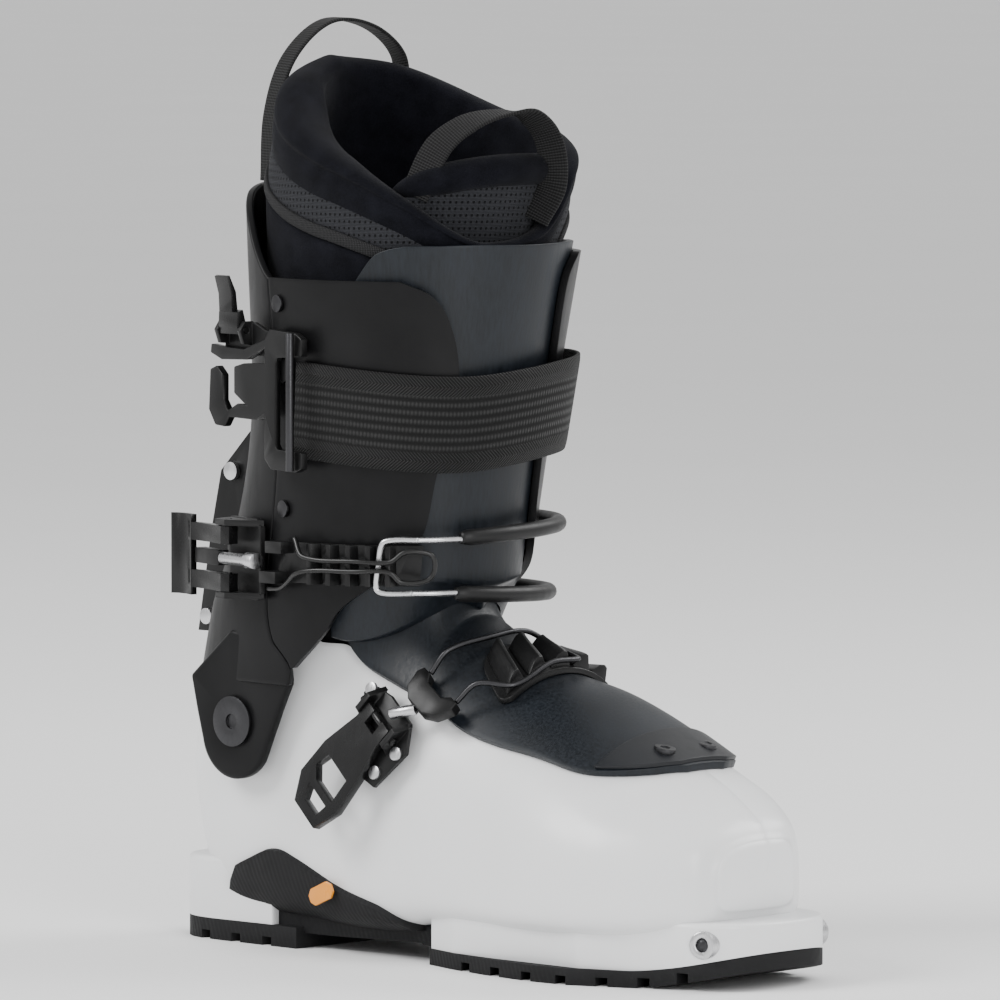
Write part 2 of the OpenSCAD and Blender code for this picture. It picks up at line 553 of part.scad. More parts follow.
// Height and standing-off of the strap lever's pin in the buckle's frame
strap_pin_at = [28, 1.2];
module strap_buckle_base() color("#111111") place() on_cuff(strap_at, strap_yaw) {
  translate([-12, 24, -4.2]) linear_extrude(2.4)
    polygon([[-32, -6], [-30, 7], [-14, 7], [-6, 4], [4, 4], [8, -14], [4, -16], [-8, -6]]);
  for (x = [-43, -28.6]) difference() {
    translate([x, 0, 0]) rotate([90, 0, 90]) linear_extrude(2)
      polygon([[22.2, -2.5], [22.6, 2.4], [28, 4.4], [31.5, 2], [31.5, -2.5]]);
    translate([x - 1, strap_pin_at[0], strap_pin_at[1]]) rotate([0, 90, 0]) cylinder(r = 1.4 + fit, h = 4);
  }
}
module strap_lever() color("#151515") place() on_cuff(strap_at, strap_yaw) {
  translate([-42.9, strap_pin_at[0], strap_pin_at[1]]) rotate([0, 90, 0]) cylinder(r = 1.4, h = 16.2);
  translate([-40.6, 0, 0]) rotate([90, 0, 90]) linear_extrude(11.6)
    polygon([[26.2, -0.6], [26.4, 3.2], [30, 4], [35, 3.8], [36, 1], [31, -0.4], [28.5, -1.2]]);
  translate([-40.6, 0, 0]) rotate([90, 0, 90]) linear_extrude(8)
    polygon([[34, 0.6], [34, 3.6], [42, 4], [49, 6], [49.5, 4.8], [43, 1.6]]);
}
module strap_frame() color("#0f0f10") place() on_cuff(strap_at, strap_yaw) translate([0, 0, -1.6])
  linear_extrude(3.2) {
    polygon([[-15, 25], [-12, 29], [4, 28], [8, 26], [8, 19], [-7, 18], [-8.5, 16], [-8.5, -16], [-7, -18],
             [8, -18.5], [8, -25], [4, -26.5], [-11, -26], [-15, -22], [-15, -4], [-24, -3], [-34, 3],
             [-34, 13.5], [-28, 15], [-15, 15.5]]);
    polygon([[-14, 22], [-26, 16.5], [-42, 16], [-49, 18.5], [-48.5, 22], [-40, 21], [-28, 20.5], [-14, 25.5]]);
    polygon([[-14, -1], [-20, -1.5], [-32, -1], [-38, -4], [-41, 0], [-41, 10], [-45, 13.5], [-49, 12],
             [-50, -4], [-46, -10], [-40, -10.5], [-37, -6.5], [-20, -7], [-14, -6]]);
  }
module strap_pin() color("silver") place() on_cuff(strap_at, strap_yaw)
  translate([4, 1.2, 4]) rotate([90, 0, 0]) cylinder(r = 1.6, h = 54, center = true);
// ---------- cuff buckle ----------

cuff_hinge = [58.5, -56.6, 155.5];
cuff_yaw = -18;
module cuff_buckle_base() color("#101010") place() on_cuff(cuff_hinge, cuff_yaw) {
  translate([1, 0, -8.6]) plate(28, 32, 2.2, 3);
  for (s = [-1, 1]) difference() {
    translate([0, s * 14.4, 0]) rotate([90, 0, 0]) linear_extrude(2.4, center = true)
      polygon([[-11, -8], [-5, 3.2], [3, 3.4], [11, -3], [15, -8]]);
    translate([0, s * 14.4, 0]) rotate([90, 0, 0]) cylinder(r = 1.6 + fit, h = 4, center = true);
  }
}
module cuff_link() color("#0d0d0d") place() on_cuff(cuff_hinge, cuff_yaw)
  translate([-24.5, -3, -2.4]) cube([20.5, 6, 4.8]);
module cuff_lever() color("#0d0d0d") place() on_cuff(cuff_hinge, cuff_yaw) {
  for (s = [-1, 1]) translate([0, s * 5.5, 0]) rotate([-s * 90, 0, 0]) cylinder(r = 1.6, h = 10.2);
  for (s = [-1, 1]) translate([0, s * 9.4, 0]) rotate([90, 0, 0]) linear_extrude(7, center = true)
    polygon([[3, -2.6], [4, 1.8], [1, 4], [-12, 2.6], [-28, 3.4], [-28, 0.6], [-14, -1], [-6, -3.4]]);
  rotate([90, 0, 0]) linear_extrude(32, center = true)
    polygon([[-25.5, 3.4], [-25.5, 0.9], [-33, 0.6], [-38, 2.4], [-39.5, 5], [-38.4, 5.6], [-36, 3.6], [-31, 2.8]]);
}
module cuff_adjuster() color("silver") place() on_cuff(cuff_hinge, cuff_yaw) rotate([0, 8, 0]) {
  translate([-3.6, 0, 0]) rotate([0, 90, 0]) cylinder(r = 2.4, h = 18);
  translate([13, 0, 0]) rotate([0, 90, 0]) cylinder(r = 3.2, h = 6);
}
module cuff_rack() color("#121213") place() body() {
  as = steps(92, 38, 12);
  slab([for (h = [-8, 8]) [for (a = as) cuff_point(155.5 + h, a, cuff_wall + 3.4)]],
       [for (h = [-8, 8]) [for (a = as) cuff_point(155.5 + h, a, cuff_wall + 1)]]);
  for (a = [78, 71, 64, 57, 50]) translate(cuff_point(155.5, a, cuff_wall + 3.2))
    rotate([0, 0, 90 - a * 1.02]) rotate([90, 0, 0]) translate([0, 8, 0]) rotate([90, 0, 0])
      linear_extrude(16) polygon([[-2.6, -0.4], [2.4, -0.4], [2.4, 1], [0.2, 4.6], [-1.8, 4.6]]);
  for (s = [-1, 1]) translate(cuff_point(155.5 + s * 6, 91, cuff_wall + 6.5)) rotate([0, 0, -2])
    cube([9, 7.4, 4.6], center = true);
}
function rack_line(a, h, out) = cuff_point(155.5 + h, a, cuff_wall + out);
module rack_puller() color("#0a0a0a") place() body() {
  tube(bend([rack_line(93, -11, 5), rack_line(88, -10, 6.2), rack_line(80, -3, 10.1), rack_line(62, -2, 10.1),
             rack_line(50, -2, 10.1), rack_line(45, -6, 9.9), rack_line(36, -5, 9.7), rack_line(34, 0, 9),
             rack_line(36, 5, 9.7), rack_line(45, 6, 9.9), rack_line(50, 2, 10.1), rack_line(62, 2, 10.1),
             rack_line(80, 3, 10.1), rack_line(86, 10, 7)], 3), 1, 6);
}
module cuff_bail() color("silver") place() body()
  tube(bend([rack_line(41, 10.5, 7.4), rack_line(51, 10.5, 7.4), rack_line(54, 9, 7.4), rack_line(54, 0, 7.4),
             rack_line(54, -9, 7.4), rack_line(51, -10.5, 7.4), rack_line(41, -10.5, 7.4)], 3), 1.2, 8);
function cable_line(s) = [rack_line(40.4, s * 10.5, 7.4), rack_line(24, s * 10.6, 5.4)];
module cuff_cables() color("#151515") place() body() for (s = [-1, 1]) tube(cable_line(s), 1.2, 8);
module cable_sleeves() color("#1c1c1c") place() body() for (s = [-1, 1])
  tube([for (a = steps(23.6, -92, 20)) cuff_point(155.5 + s * (11 + 3 * sin(max(0, 24 - a))), a,
        cuff_wall + 4.2 + 4 * exp(-((a + 38) / 26) ^ 2))], 3.2, 8);
module cable_anchor() color("#111111") place() difference() {
  translate(cuff_point(155.5, -99, cuff_wall)) rotate([0, 0, 172]) rotate([90, 0, 0]) difference() {
    translate([0, 0, -2]) plate(14, 40, 9.9, 3);
    for (s = [-1, 1]) translate([0, s * 13.7, 4.2]) rotate([0, 90, 0]) cylinder(r = 3.5, h = 40, center = true);
  }
  cuff_block();
}

// ---------- instep buckle ----------

instep_hinge = [129, -44.5, 95];
instep_turn = 50;
instep_tilt = -13;
// Local X up the strap's line, local Y across it, local Z out of the shell
module on_instep() {
  translate(instep_hinge) rotate([90, 0, 0]) rotate([instep_tilt, 0, 0]) rotate([0, 0, instep_turn])
    children();
}
module instep_buckle_base() color("#121212") place() on_instep() {
  translate([-6, -3, -4.4]) linear_extrude(1.8)
    polygon([[-16, -6], [-14, -14], [6, -16], [15, -8], [15, 8], [12, 17], [6, 20], [2, 14], [-8, 6]]);
  for (y = [-11, 10]) difference() {
    translate([0, y, 0]) rotate([90, 0, 0]) linear_extrude(2.4, center = true)
      polygon([[-8, -3.8], [-4, 3], [4, 3], [9, -3.8]]);
    translate([0, y, 0]) rotate([90, 0, 0]) cylinder(r = 1.6 + fit, h = 4, center = true);
  }
}
module instep_rivets() color("silver") place() on_instep() {
  for (p = [[-15.5, -13.4], [-3, -15.6], [4, 14.3]]) translate([p[0], p[1], -2.5]) cylinder(r = 2.7, h = 1.4);
}
lever_outline = [[1.7, -8.6], [1.7, 8.6], [-6, 8.6], [-24, 13], [-40, 13], [-50, 6], [-50, -10], [-38, -14],
                 [-22, -12], [-8, -8.6]];
module instep_lever() color("#131313") place() on_instep() {
  rotate([90, 0, 0]) cylinder(r = 1.6, h = 26, center = true);
  difference() {
    translate([0, 0, -1.8]) linear_extrude(3.8) polygon(lever_outline);
    translate([0, 0, -4]) linear_extrude(8) polygon([[-26, -8], [-26, 7], [-33, 9], [-37, 4], [-37, -9]]);
    translate([0, 0, -4]) linear_extrude(8) polygon([[-40, -8], [-40, 6], [-46, 3], [-46, -7]]);
    translate([-5, -3.4, -4]) cube([14, 6.8, 9]);
  }
}
// Frame of the yoke: local X along the pull, local Z out of the shell
yoke_at = [150, -38.5, 104];
yoke_x = unit([0.48, 0.64, 0.6]);
yoke_out = [0.25, -0.75, 0.6];
yoke_z = unit(yoke_out - (yoke_out * yoke_x) * yoke_x);
yoke_y = cross(yoke_z, yoke_x);
function yoke_local(p) = yoke_at + yoke_x * p[0] + yoke_y * p[1] + yoke_z * p[2];
module on_yoke() {
  multmatrix([[yoke_x[0], yoke_y[0], yoke_z[0], yoke_at[0]], [yoke_x[1], yoke_y[1], yoke_z[1], yoke_at[1]],
              [yoke_x[2], yoke_y[2], yoke_z[2], yoke_at[2]], [0, 0, 0, 1]]) children();
}
link_from = [136.4, -45.6, 98];
module instep_link() color("silver") place() body()
  tube([link_from, mix(link_from, yoke_local([-6.2, 0, 0]), 0.5), yoke_local([-6.2, 0, 0])], 2.2, 12);
module instep_yoke() color("#151516") place() on_yoke() translate([-6, 0, -2.8]) linear_extrude(5.6)
  polygon([[0, -5], [0, 5], [3, 10], [10, 13], [13, 12], [13, 8], [10, 5], [10, -5], [13, -8], [13, -12],
           [10, -13], [3, -10]]);
// Toothed rack over the instep: u runs across to the inner side, v towards the ankle
function rack_point(u, v, out) = shell_point(30 - 11 * v + 3 * u, -3 - 32 * u - 6 * v, out);
rack_low = tongue_gap + tongue_wall + 0.2;
rack_pad = rack_low + 2.4;
module instep_wires() color("#0c0c0c") place() body()
  tube(concat(wire_side(-1), [rack_point(0.24, 0, rack_pad + 3.4)],
              [for (i = [len(wire_side(1)) - 1:-1:0]) wire_side(1)[i]]), 1.1, 8);
function wire_side(s) = bend([yoke_local([7.4, s * 9.6, 0]), yoke_local([18, s * 11, 3]),
  rack_point(-0.75, s * 1.12, rack_pad + 4), rack_point(-0.2, s * 1.12, rack_pad + 4),
  rack_point(0.24, s * 1.08, rack_pad + 3.6), rack_point(0.24, s * 0.5, rack_pad + 3.4)], 4);
module instep_rack() color("#141414") place() body() {
  slab([for (v = steps(-1, 1, 4)) [for (u = steps(-1, 1, 10)) rack_point(u, v, rack_pad)]],
       [for (v = steps(-1, 1, 4)) [for (u = steps(-1, 1, 10)) rack_point(u, v, rack_low)]]);
  for (u = [-0.72, -0.36, 0, 0.36, 0.72]) loft([for (v = steps(-0.82, 0.82, 3))
    [rack_point(u - 0.17, v, rack_pad - 0.6), rack_point(u + 0.16, v, rack_pad - 0.6),
     rack_point(u + 0.16, v, rack_pad + 5.6), rack_point(u + 0.1, v, rack_pad + 6),
     rack_point(u - 0.17, v, rack_pad + 1)]]);
}
module instep_anchor() color("silver") place() translate(rack_point(0.94, 0.5, rack_pad + 0.05))
  rotate([-32, 20, 0]) cylinder(r = 2, h = 1.4);

lower_shell();
outsole();
sole_badge();
toe_inserts();
heel_insert();
boot_board();
footbed();
liner_foot();
throat_gasket();
instep_tongue();
toe_plate();
toe_plate_bolts();
pivot_bolts();
lock_anchor();
lock_bar();
cuff_frame();
cuff_wrap_lateral();
cuff_wrap_medial();
cuff_rivets();
shin_tongue();
lock_housing();
housing_screws();
walk_lever();
liner_ankle();
liner_cuff();
liner_tongue();
pull_loop_rear();
pull_loop_front();
power_strap();
strap_buckle_base();
strap_lever();
strap_frame();
strap_pin();
strap_anchor();
cuff_buckle_base();
cuff_lever();
cuff_link();
cuff_adjuster();
cuff_rack();
rack_puller();
cuff_bail();
cuff_cables();
cable_sleeves();
cable_anchor();
instep_buckle_base();
instep_rivets();
instep_lever();
instep_link();
instep_yoke();
instep_wires();
instep_rack();
instep_anchor();
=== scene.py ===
"""Alpine touring boot: the looks around the packed model, laid out as an add-on and run as a script."""

import math

import bpy
import numpy as np
from bpy.props import FloatProperty, FloatVectorProperty, PointerProperty
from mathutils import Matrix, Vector


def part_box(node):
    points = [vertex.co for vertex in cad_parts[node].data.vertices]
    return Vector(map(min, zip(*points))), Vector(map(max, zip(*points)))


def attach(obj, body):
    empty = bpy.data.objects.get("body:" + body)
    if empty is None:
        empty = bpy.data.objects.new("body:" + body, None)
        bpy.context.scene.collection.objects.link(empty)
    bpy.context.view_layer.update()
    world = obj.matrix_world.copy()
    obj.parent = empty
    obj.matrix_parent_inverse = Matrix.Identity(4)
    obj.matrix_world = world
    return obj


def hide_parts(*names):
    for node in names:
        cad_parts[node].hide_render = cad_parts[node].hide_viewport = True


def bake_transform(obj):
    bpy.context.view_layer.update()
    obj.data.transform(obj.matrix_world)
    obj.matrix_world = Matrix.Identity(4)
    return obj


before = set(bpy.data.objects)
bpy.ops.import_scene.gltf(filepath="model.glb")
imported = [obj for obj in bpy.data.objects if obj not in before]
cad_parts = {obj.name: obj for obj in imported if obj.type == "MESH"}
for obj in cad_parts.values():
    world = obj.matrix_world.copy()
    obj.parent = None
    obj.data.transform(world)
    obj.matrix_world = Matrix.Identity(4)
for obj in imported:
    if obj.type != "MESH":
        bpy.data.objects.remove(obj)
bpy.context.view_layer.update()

bl_info = {
    "name": "Alpine touring boot",
    "version": (1, 0, 0),
    "blender": (4, 5, 0),
    "location": "View3D > Sidebar > Boot",
    "description": "Builds a touring boot's shell, cuff, liner, straps and buckles around its frame",
    "category": "Object",
}

# ---------- the boot's own axes ----------
# Boot axes in millimetres: x from the heel edge to the toe, y to the inner side of the foot, z up.
# The sole's heel edge is x = 0 and the toe sockets lie evenly about y = 0.

MM = 0.001
TURN = 2 * math.pi
HEEL_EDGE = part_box("outsole")[0].x
MIDDLE = (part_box("toe_inserts")[0].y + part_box("toe_inserts")[1].y) / 2
LENGTH = 304.0
FAN_X, FAN_Z = 140.0, 150.0
FORE = (LENGTH - 15.5 - FAN_X) / 148.5
SHELL_WALL = 3.2
TONGUE_GAP, TONGUE_WALL = 0.4, 2.8
CUFF_WALL = 3.0
STRAP_HALF = 19.0
LINER_OFF = -4.4
LINER_TOP = 353.0
SHELL_BODY, CUFF_BODY = "lower_boot", "cuff"


def to_frame(points):
    """Boot millimetres to the row's metres: shift to the row's origin, then scale."""
    return np.asarray(points, float) * MM + np.array([HEEL_EDGE, MIDDLE, 0.0])


def curve(stations, x):
    """Smooth curve through (x, value) stations, level beyond its ends: cubic pieces whose slope at a
    station is that of the chord between its neighbours."""
    t = np.array(stations, float)
    x = np.clip(np.asarray(x, float), t[0, 0], t[-1, 0])
    slope = np.gradient(t[:, 1])
    slope[1:-1] = (t[2:, 1] - t[:-2, 1]) / (t[2:, 0] - t[:-2, 0])
    slope[0] = (t[1, 1] - t[0, 1]) / (t[1, 0] - t[0, 0])
    slope[-1] = (t[-1, 1] - t[-2, 1]) / (t[-1, 0] - t[-2, 0])
    i = np.clip(np.searchsorted(t[:, 0], x, side="right") - 1, 0, len(t) - 2)
    h = t[i + 1, 0] - t[i, 0]
    u = (x - t[i, 0]) / h
    return (
        (2 * u**3 - 3 * u**2 + 1) * t[i, 1]
        + (u**3 - 2 * u**2 + u) * h * slope[i]
        + (3 * u**2 - 2 * u**3) * t[i + 1, 1]
        + (u**3 - u**2) * h * slope[i + 1]
    )


def smooth_step(a, b, x):
    """0 before a, 1 after b, eased between."""
    u = np.clip((np.asarray(x, float) - a) / (b - a), 0, 1)
    return u * u * (3 - 2 * u)


def mix(a, b, t):
    """a at t = 0, b at t = 1."""
    return a + (b - a) * t


def spans(a, b, rows, c, d, columns):
    """Two grids: a to b down the rows, and c to d along the columns."""
    return np.meshgrid(np.linspace(a, b, rows), np.linspace(c, d, columns), indexing="ij")


def unit(v):
    v = np.asarray(v, float)
    return v / np.linalg.norm(v, axis=-1, keepdims=True)


# Shell stations: fan angle below 0 behind the instep, distance forward of it above 0.
RIDGE = [(-80, 0), (-40, 6), (0, 19), (20, 33), (40, 40), (60, 45.5), (76, 52), (95, 61.5),
         (112, 70.5), (125, 76.5), (138, 84), (145, 89), (148, 94)]
WAIST = [(-80, 72), (-60, 95), (-40, 110), (-20, 112), (0, 112), (40, 114), (120, 112), (148, 110)]
UNDER = [(-80, 122), (-72, 131), (-67, 141), (-63, 153), (-58, 162), (-52, 170.5), (-46, 177),
         (-40, 176), (-30, 159), (-20, 147), (0, 137), (30, 134), (70, 134), (110, 133), (132, 130),
         (144, 127), (148, 121)]
OUTER_W = [(-80, 36), (-60, 37), (-45, 38), (-20, 40), (0, 43), (30, 48), (60, 52.5), (85, 54.5),
           (105, 52.5), (122, 47), (135, 40), (144, 33), (148, 25)]
INNER_W = [(-80, 36), (-60, 37), (-20, 37), (0, 38), (30, 41), (60, 46), (85, 48), (105, 46.5),
           (122, 42), (135, 35.5), (144, 28), (148, 20)]
LEAN_Y = [(-80, 0), (-20, 2), (20, 6), (60, 11), (100, 11), (135, 7), (148, 4)]
SQUARE_UP = [(-80, 2.2), (0, 2.1), (60, 2.1), (100, 2.3), (125, 2.7), (148, 3)]
SQUARE_LOW = [(-80, 2.2), (-68, 2.2), (-60, 2.9), (-50, 3), (-30, 4), (0, 4.5), (148, 5)]
# Cuff slices by height: back edge, front edge and half width.
CUFF_BACK = [(60, 8), (100, 7), (124, 12), (137, 16), (165, 29), (197, 38), (230, 41), (300, 39)]
CUFF_FRONT = [(60, 140), (100, 140), (137, 147), (165, 151), (197, 156), (230, 162), (265, 169),
              (300, 177)]
CUFF_HALF = [(60, 46), (110, 46), (137, 47), (165, 48), (197, 49.5), (230, 52), (265, 55), (300, 57)]
CUFF_SQUARE = 2.15


def bent(c, n):
    """A cosine or sine to the power 2/n with its sign kept, as a superellipse takes it."""
    return np.sign(c) * np.abs(c) ** (2 / n)


def shell_point(k, a, off=0.0):
    """Point of the shell. Station k places a section that turns about the fan centre behind the instep
    and stands upright in front of it; the section is a superellipse from the ridge (a = 0) over the
    outer side (90) to the underside (180), grown by off."""
    k, a, off = np.broadcast_arrays(np.asarray(k, float), np.asarray(a, float), np.asarray(off, float))
    c, s = np.cos(np.radians(a)), np.sin(np.radians(a))
    up = c > 0
    n = np.where(up, curve(SQUARE_UP, k), curve(SQUARE_LOW, k))
    waist = curve(WAIST, k)
    far = np.where(up, curve(RIDGE, k) - off, curve(UNDER, k) + off)
    q = waist + (far - waist) * np.abs(c) ** (2 / n)
    w = np.where(s > 0, curve(OUTER_W, k), curve(INNER_W, k)) + off
    y = -w * bent(s, n) + curve(LEAN_Y, k) * np.maximum(c, 0) * (1 - np.abs(s) ** 3)
    turn = np.radians(np.where(k < 0, -k, 0))
    x = FAN_X + np.maximum(k, 0) * FORE - q * np.sin(turn)
    return np.stack([x, y, FAN_Z - q * np.cos(turn)], -1)


def cuff_point(z, a, off=0.0):
    """Point of the cuff: a superellipse slice at height z from its front (a = 0) over the outer side
    (90) to its back (180), grown by off. Above 300 the slices go on along the same lean."""
    z, a, off = np.broadcast_arrays(np.asarray(z, float), np.asarray(a, float), np.asarray(off, float))
    c, s = np.cos(np.radians(a)), np.sin(np.radians(a))
    level = np.minimum(z, 300.0)
    back = curve(CUFF_BACK, level) - off
    front = curve(CUFF_FRONT, level) + off
    half = curve(CUFF_HALF, level) + off
    x = (back + front) / 2 + (front - back) / 2 * bent(c, CUFF_SQUARE)
    y = -half * bent(s, CUFF_SQUARE)
    return np.stack([x + (z - level) * 0.2, y, z], -1)


def run_of(path):
    """Distance along a path, at each of its points."""
    return np.concatenate([[0], np.cumsum(np.linalg.norm(np.diff(path, axis=0), axis=1))])


# ---------- meshes ----------


def closed_volume(points, faces):
    """Signed volume: the sum over the faces of their fans' cones to the origin."""
    total = 0.0
    for i in range(1, faces.shape[1] - 1):
        a, b, c = points[faces[:, 0]], points[faces[:, i]], points[faces[:, i + 1]]
        total += np.einsum("ij,ij->i", np.cross(a, b), c).sum()
    return total


def grid_faces(rows, columns, wrap=False, start=0):
    """Quads of a grid of rows by columns, joined round the columns if wrap."""
    r = np.arange(rows - 1)[:, None] * columns
    c = np.arange(columns if wrap else columns - 1)[None, :]
    d = (c + 1) % columns
    return np.stack([r + c, r + d, r + d + columns, r + c + columns], -1).reshape(-1, 4) + start


def slab(outer, inner):
    """Closed sheet: an outer grid, an inner grid turned round, and quads along the four edges."""
    m, n = outer.shape[:2]
    k = m * n
    quads = grid_faces(m, n)
    top = np.stack([np.arange(n - 1), np.arange(1, n)], 1)
    right = np.stack([np.arange(m - 1) * n + n - 1, np.arange(1, m) * n + n - 1], 1)
    edge = np.concatenate([top, right, (top + (m - 1) * n)[:, ::-1], (right - n + 1)[:, ::-1]])
    walls = np.stack([edge[:, 1], edge[:, 0], edge[:, 0] + k, edge[:, 1] + k], 1)
    points = np.concatenate([outer.reshape(-1, 3), inner.reshape(-1, 3)])
    return points, np.concatenate([quads, quads[:, ::-1] + k, walls])


def ringed(rings, close=False):
    """Closed solid through rings of equal count: side quads, and at each end a fan to the ring's
    middle, or the last ring joined to the first if close."""
    m, n = rings.shape[:2]
    points = rings.reshape(-1, 3)
    if close:
        loop = np.concatenate([rings, rings[:1]])
        quads = grid_faces(m + 1, n, wrap=True)
        return loop.reshape(-1, 3)[: m * n], quads % (m * n)
    points = np.concatenate([points, rings[0].mean(0)[None], rings[-1].mean(0)[None]])
    j = np.arange(n)
    d = (j + 1) % n
    low = np.stack([d, j, np.full(n, m * n), np.full(n, m * n)], 1)
    high = np.stack([j, d, np.full(n, 1), np.full(n, 1)], 1) + (m - 1) * n
    high[:, 2:] = m * n + 1
    return points, np.concatenate([grid_faces(m, n, wrap=True), low, high])


def smooth_path(points, count):
    """Path through the points at even steps of chord length, by the same smooth curve on each axis."""
    p = np.asarray(points, float)
    run = run_of(p)
    at = np.linspace(0, run[-1], count)
    return np.stack([curve(np.stack([run, p[:, i]], 1), at) for i in range(3)], -1)


def tube(path, radius, sides=12):
    """Round bar: at each point of the path a circle across its direction, the frame carried along so
    that it doesn't twist. A radius may be a number or one for each point."""
    p = np.asarray(path, float)
    t = unit(np.gradient(p, axis=0))
    u = np.cross(t[0], [0, 0, 1.0] if abs(t[0][2]) < 0.8 else [1.0, 0, 0])
    side = [unit(u)]
    for d in t[1:]:
        u = side[-1] - d * (side[-1] @ d)
        side.append(unit(u))
    u = np.array(side)
    v = np.cross(t, u)
    a = np.linspace(0, TURN, sides, endpoint=False)
    r = np.broadcast_to(np.asarray(radius, float), (len(p),))[:, None, None]
    c, s = np.cos(a)[None, :, None], np.sin(a)[None, :, None]
    return ringed(p[:, None] + r * (c * u[:, None] + s * v[:, None]))


def ribbon(path, wide, width, thick, count=9):
    """Webbing band along a path: a flat section with rounded edges, its width along the given
    direction made square to the path."""
    p = np.asarray(path, float)
    t = unit(np.gradient(p, axis=0))
    w = np.broadcast_to(np.asarray(wide, float), p.shape)
    v = unit(w - t * np.sum(w * t, 1)[:, None])
    u = np.cross(t, v)
    s = np.linspace(-1, 1, count)
    half = width / 2 - thick / 2
    angle = np.linspace(0, np.pi, 5)[1:-1]
    upper = np.stack([s * half, np.full(count, thick / 2)], 1)
    end = np.stack([half + thick / 2 * np.sin(angle), thick / 2 * np.cos(angle)], 1)
    section = np.concatenate([upper, end, -upper, -end])
    rings = p[:, None] + section[None, :, :1] * v[:, None] + section[None, :, 1:] * u[:, None]
    return ringed(rings)


def join(parts):
    """Several point and face sets as one."""
    points, faces, start = [], [], 0
    for p, f in parts:
        points.append(p)
        faces.append(f + start)
        start += len(p)
    return np.concatenate(points), np.concatenate(faces)


def place_object(name, data):
    obj = bpy.data.objects.new(name, data)
    bpy.context.scene.collection.objects.link(obj)
    return obj


def add_mesh(name, parts, pattern=None):
    """Object at the origin from closed parts in boot millimetres, each turned to face outwards.
    pattern holds each part's surface coordinates in millimetres, kept as a point attribute."""
    turned = [(p, f if closed_volume(p, f) > 0 else f[:, ::-1]) for p, f in parts]
    points, faces = join(turned)
    mesh = bpy.data.meshes.new(name)
    tris = faces[:, 2] == faces[:, 3]
    loose = (faces[:, 0] == faces[:, 1]) & ~tris
    polygons = [list(f[:3]) for f in faces[tris].tolist()]
    polygons += [list(f[1:]) for f in faces[loose].tolist()]
    polygons += faces[~tris & ~loose].tolist()
    mesh.from_pydata(to_frame(points).tolist(), [], polygons)
    mesh.polygons.foreach_set("use_smooth", np.ones(len(mesh.polygons), bool))
    if pattern is not None:
        uv = mesh.attributes.new("pattern", "FLOAT_VECTOR", "POINT")
        flat = np.zeros((len(points), 3), np.float32)
        flat[:, :2] = np.concatenate([np.asarray(q, float).reshape(-1, 2) for q in pattern])
        uv.data.foreach_set("vector", flat.ravel())
    mesh.update()
    return place_object(name, mesh)


def round_edges(obj, width, angle=38, segments=3, weld=False):
    """Bevel on edges sharper than the angle; loose CAD triangles are welded first."""
    if weld:
        obj.modifiers.new("weld", "WELD").merge_threshold = 1e-5
    bevel = obj.modifiers.new("edges", "BEVEL")
    bevel.width = width * MM
    bevel.segments = segments
    bevel.limit_method = "ANGLE"
    bevel.angle_limit = math.radians(angle)
    bevel.harden_normals = weld


def set_up(obj, material, body=None, replaces=()):
    """Material, the record's slot, the body it rides and the CAD nodes it stands for."""
    obj.data.materials.clear()
    obj.data.materials.append(material)
    if replaces:
        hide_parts(*replaces)
    if body:
        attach(obj, body)
    return obj


def piece(name, parts, finish, body=None, replaces=(), edges=None, pattern=None):
    """A visible piece: its mesh, its edges rounded if asked, and what set_up gives it."""
    obj = add_mesh(name, parts, pattern)
    if edges:
        round_edges(obj, *edges)
    return set_up(obj, Materials.get(finish), body, replaces)


def dress(finish, bevel, *nodes, angle=38):
    """CAD nodes keep their shape and get a material, soft edges and smooth round faces."""
    for node in nodes:
        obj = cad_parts[node]
        obj.data.materials.clear()
        obj.data.materials.append(Materials.get(finish))
        round_edges(obj, bevel, angle, 2, weld=True)
        obj.data.polygons.foreach_set("use_smooth", np.ones(len(obj.data.polygons), bool))


# ---------- materials ----------


class Wire:
    """One node socket; arithmetic on it adds Math nodes."""

    def __init__(self, look, socket):
        self.look, self.socket = look, socket

    def math(self, operation, *others):
        return self.look.add("ShaderNodeMath", [self, *others], operation=operation)

    def __add__(self, other):
        return self.math("ADD", other)

    def __sub__(self, other):
        return self.math("SUBTRACT", other)

    def __rsub__(self, other):
        return self.look.add("ShaderNodeMath", [other, self], operation="SUBTRACT")

    def __mul__(self, other):
        return self.math("MULTIPLY", other)

    __radd__ = __add__
    __rmul__ = __mul__

    def sine(self):
        return self.math("SINE")

    def size(self):
        return self.math("ABSOLUTE")

    def part(self, axis):
        split = self.look.nodes.new("ShaderNodeSeparateXYZ")
        self.look.links.new(self.socket, split.inputs[0])
        return Wire(self.look, split.outputs[axis])

    def between(self, low, high, to_low=0.0, to_high=1.0):
        """This value mapped from low..high to to_low..to_high, held at the ends."""
        return self.look.add("ShaderNodeMapRange", [self, low, high, to_low, to_high])


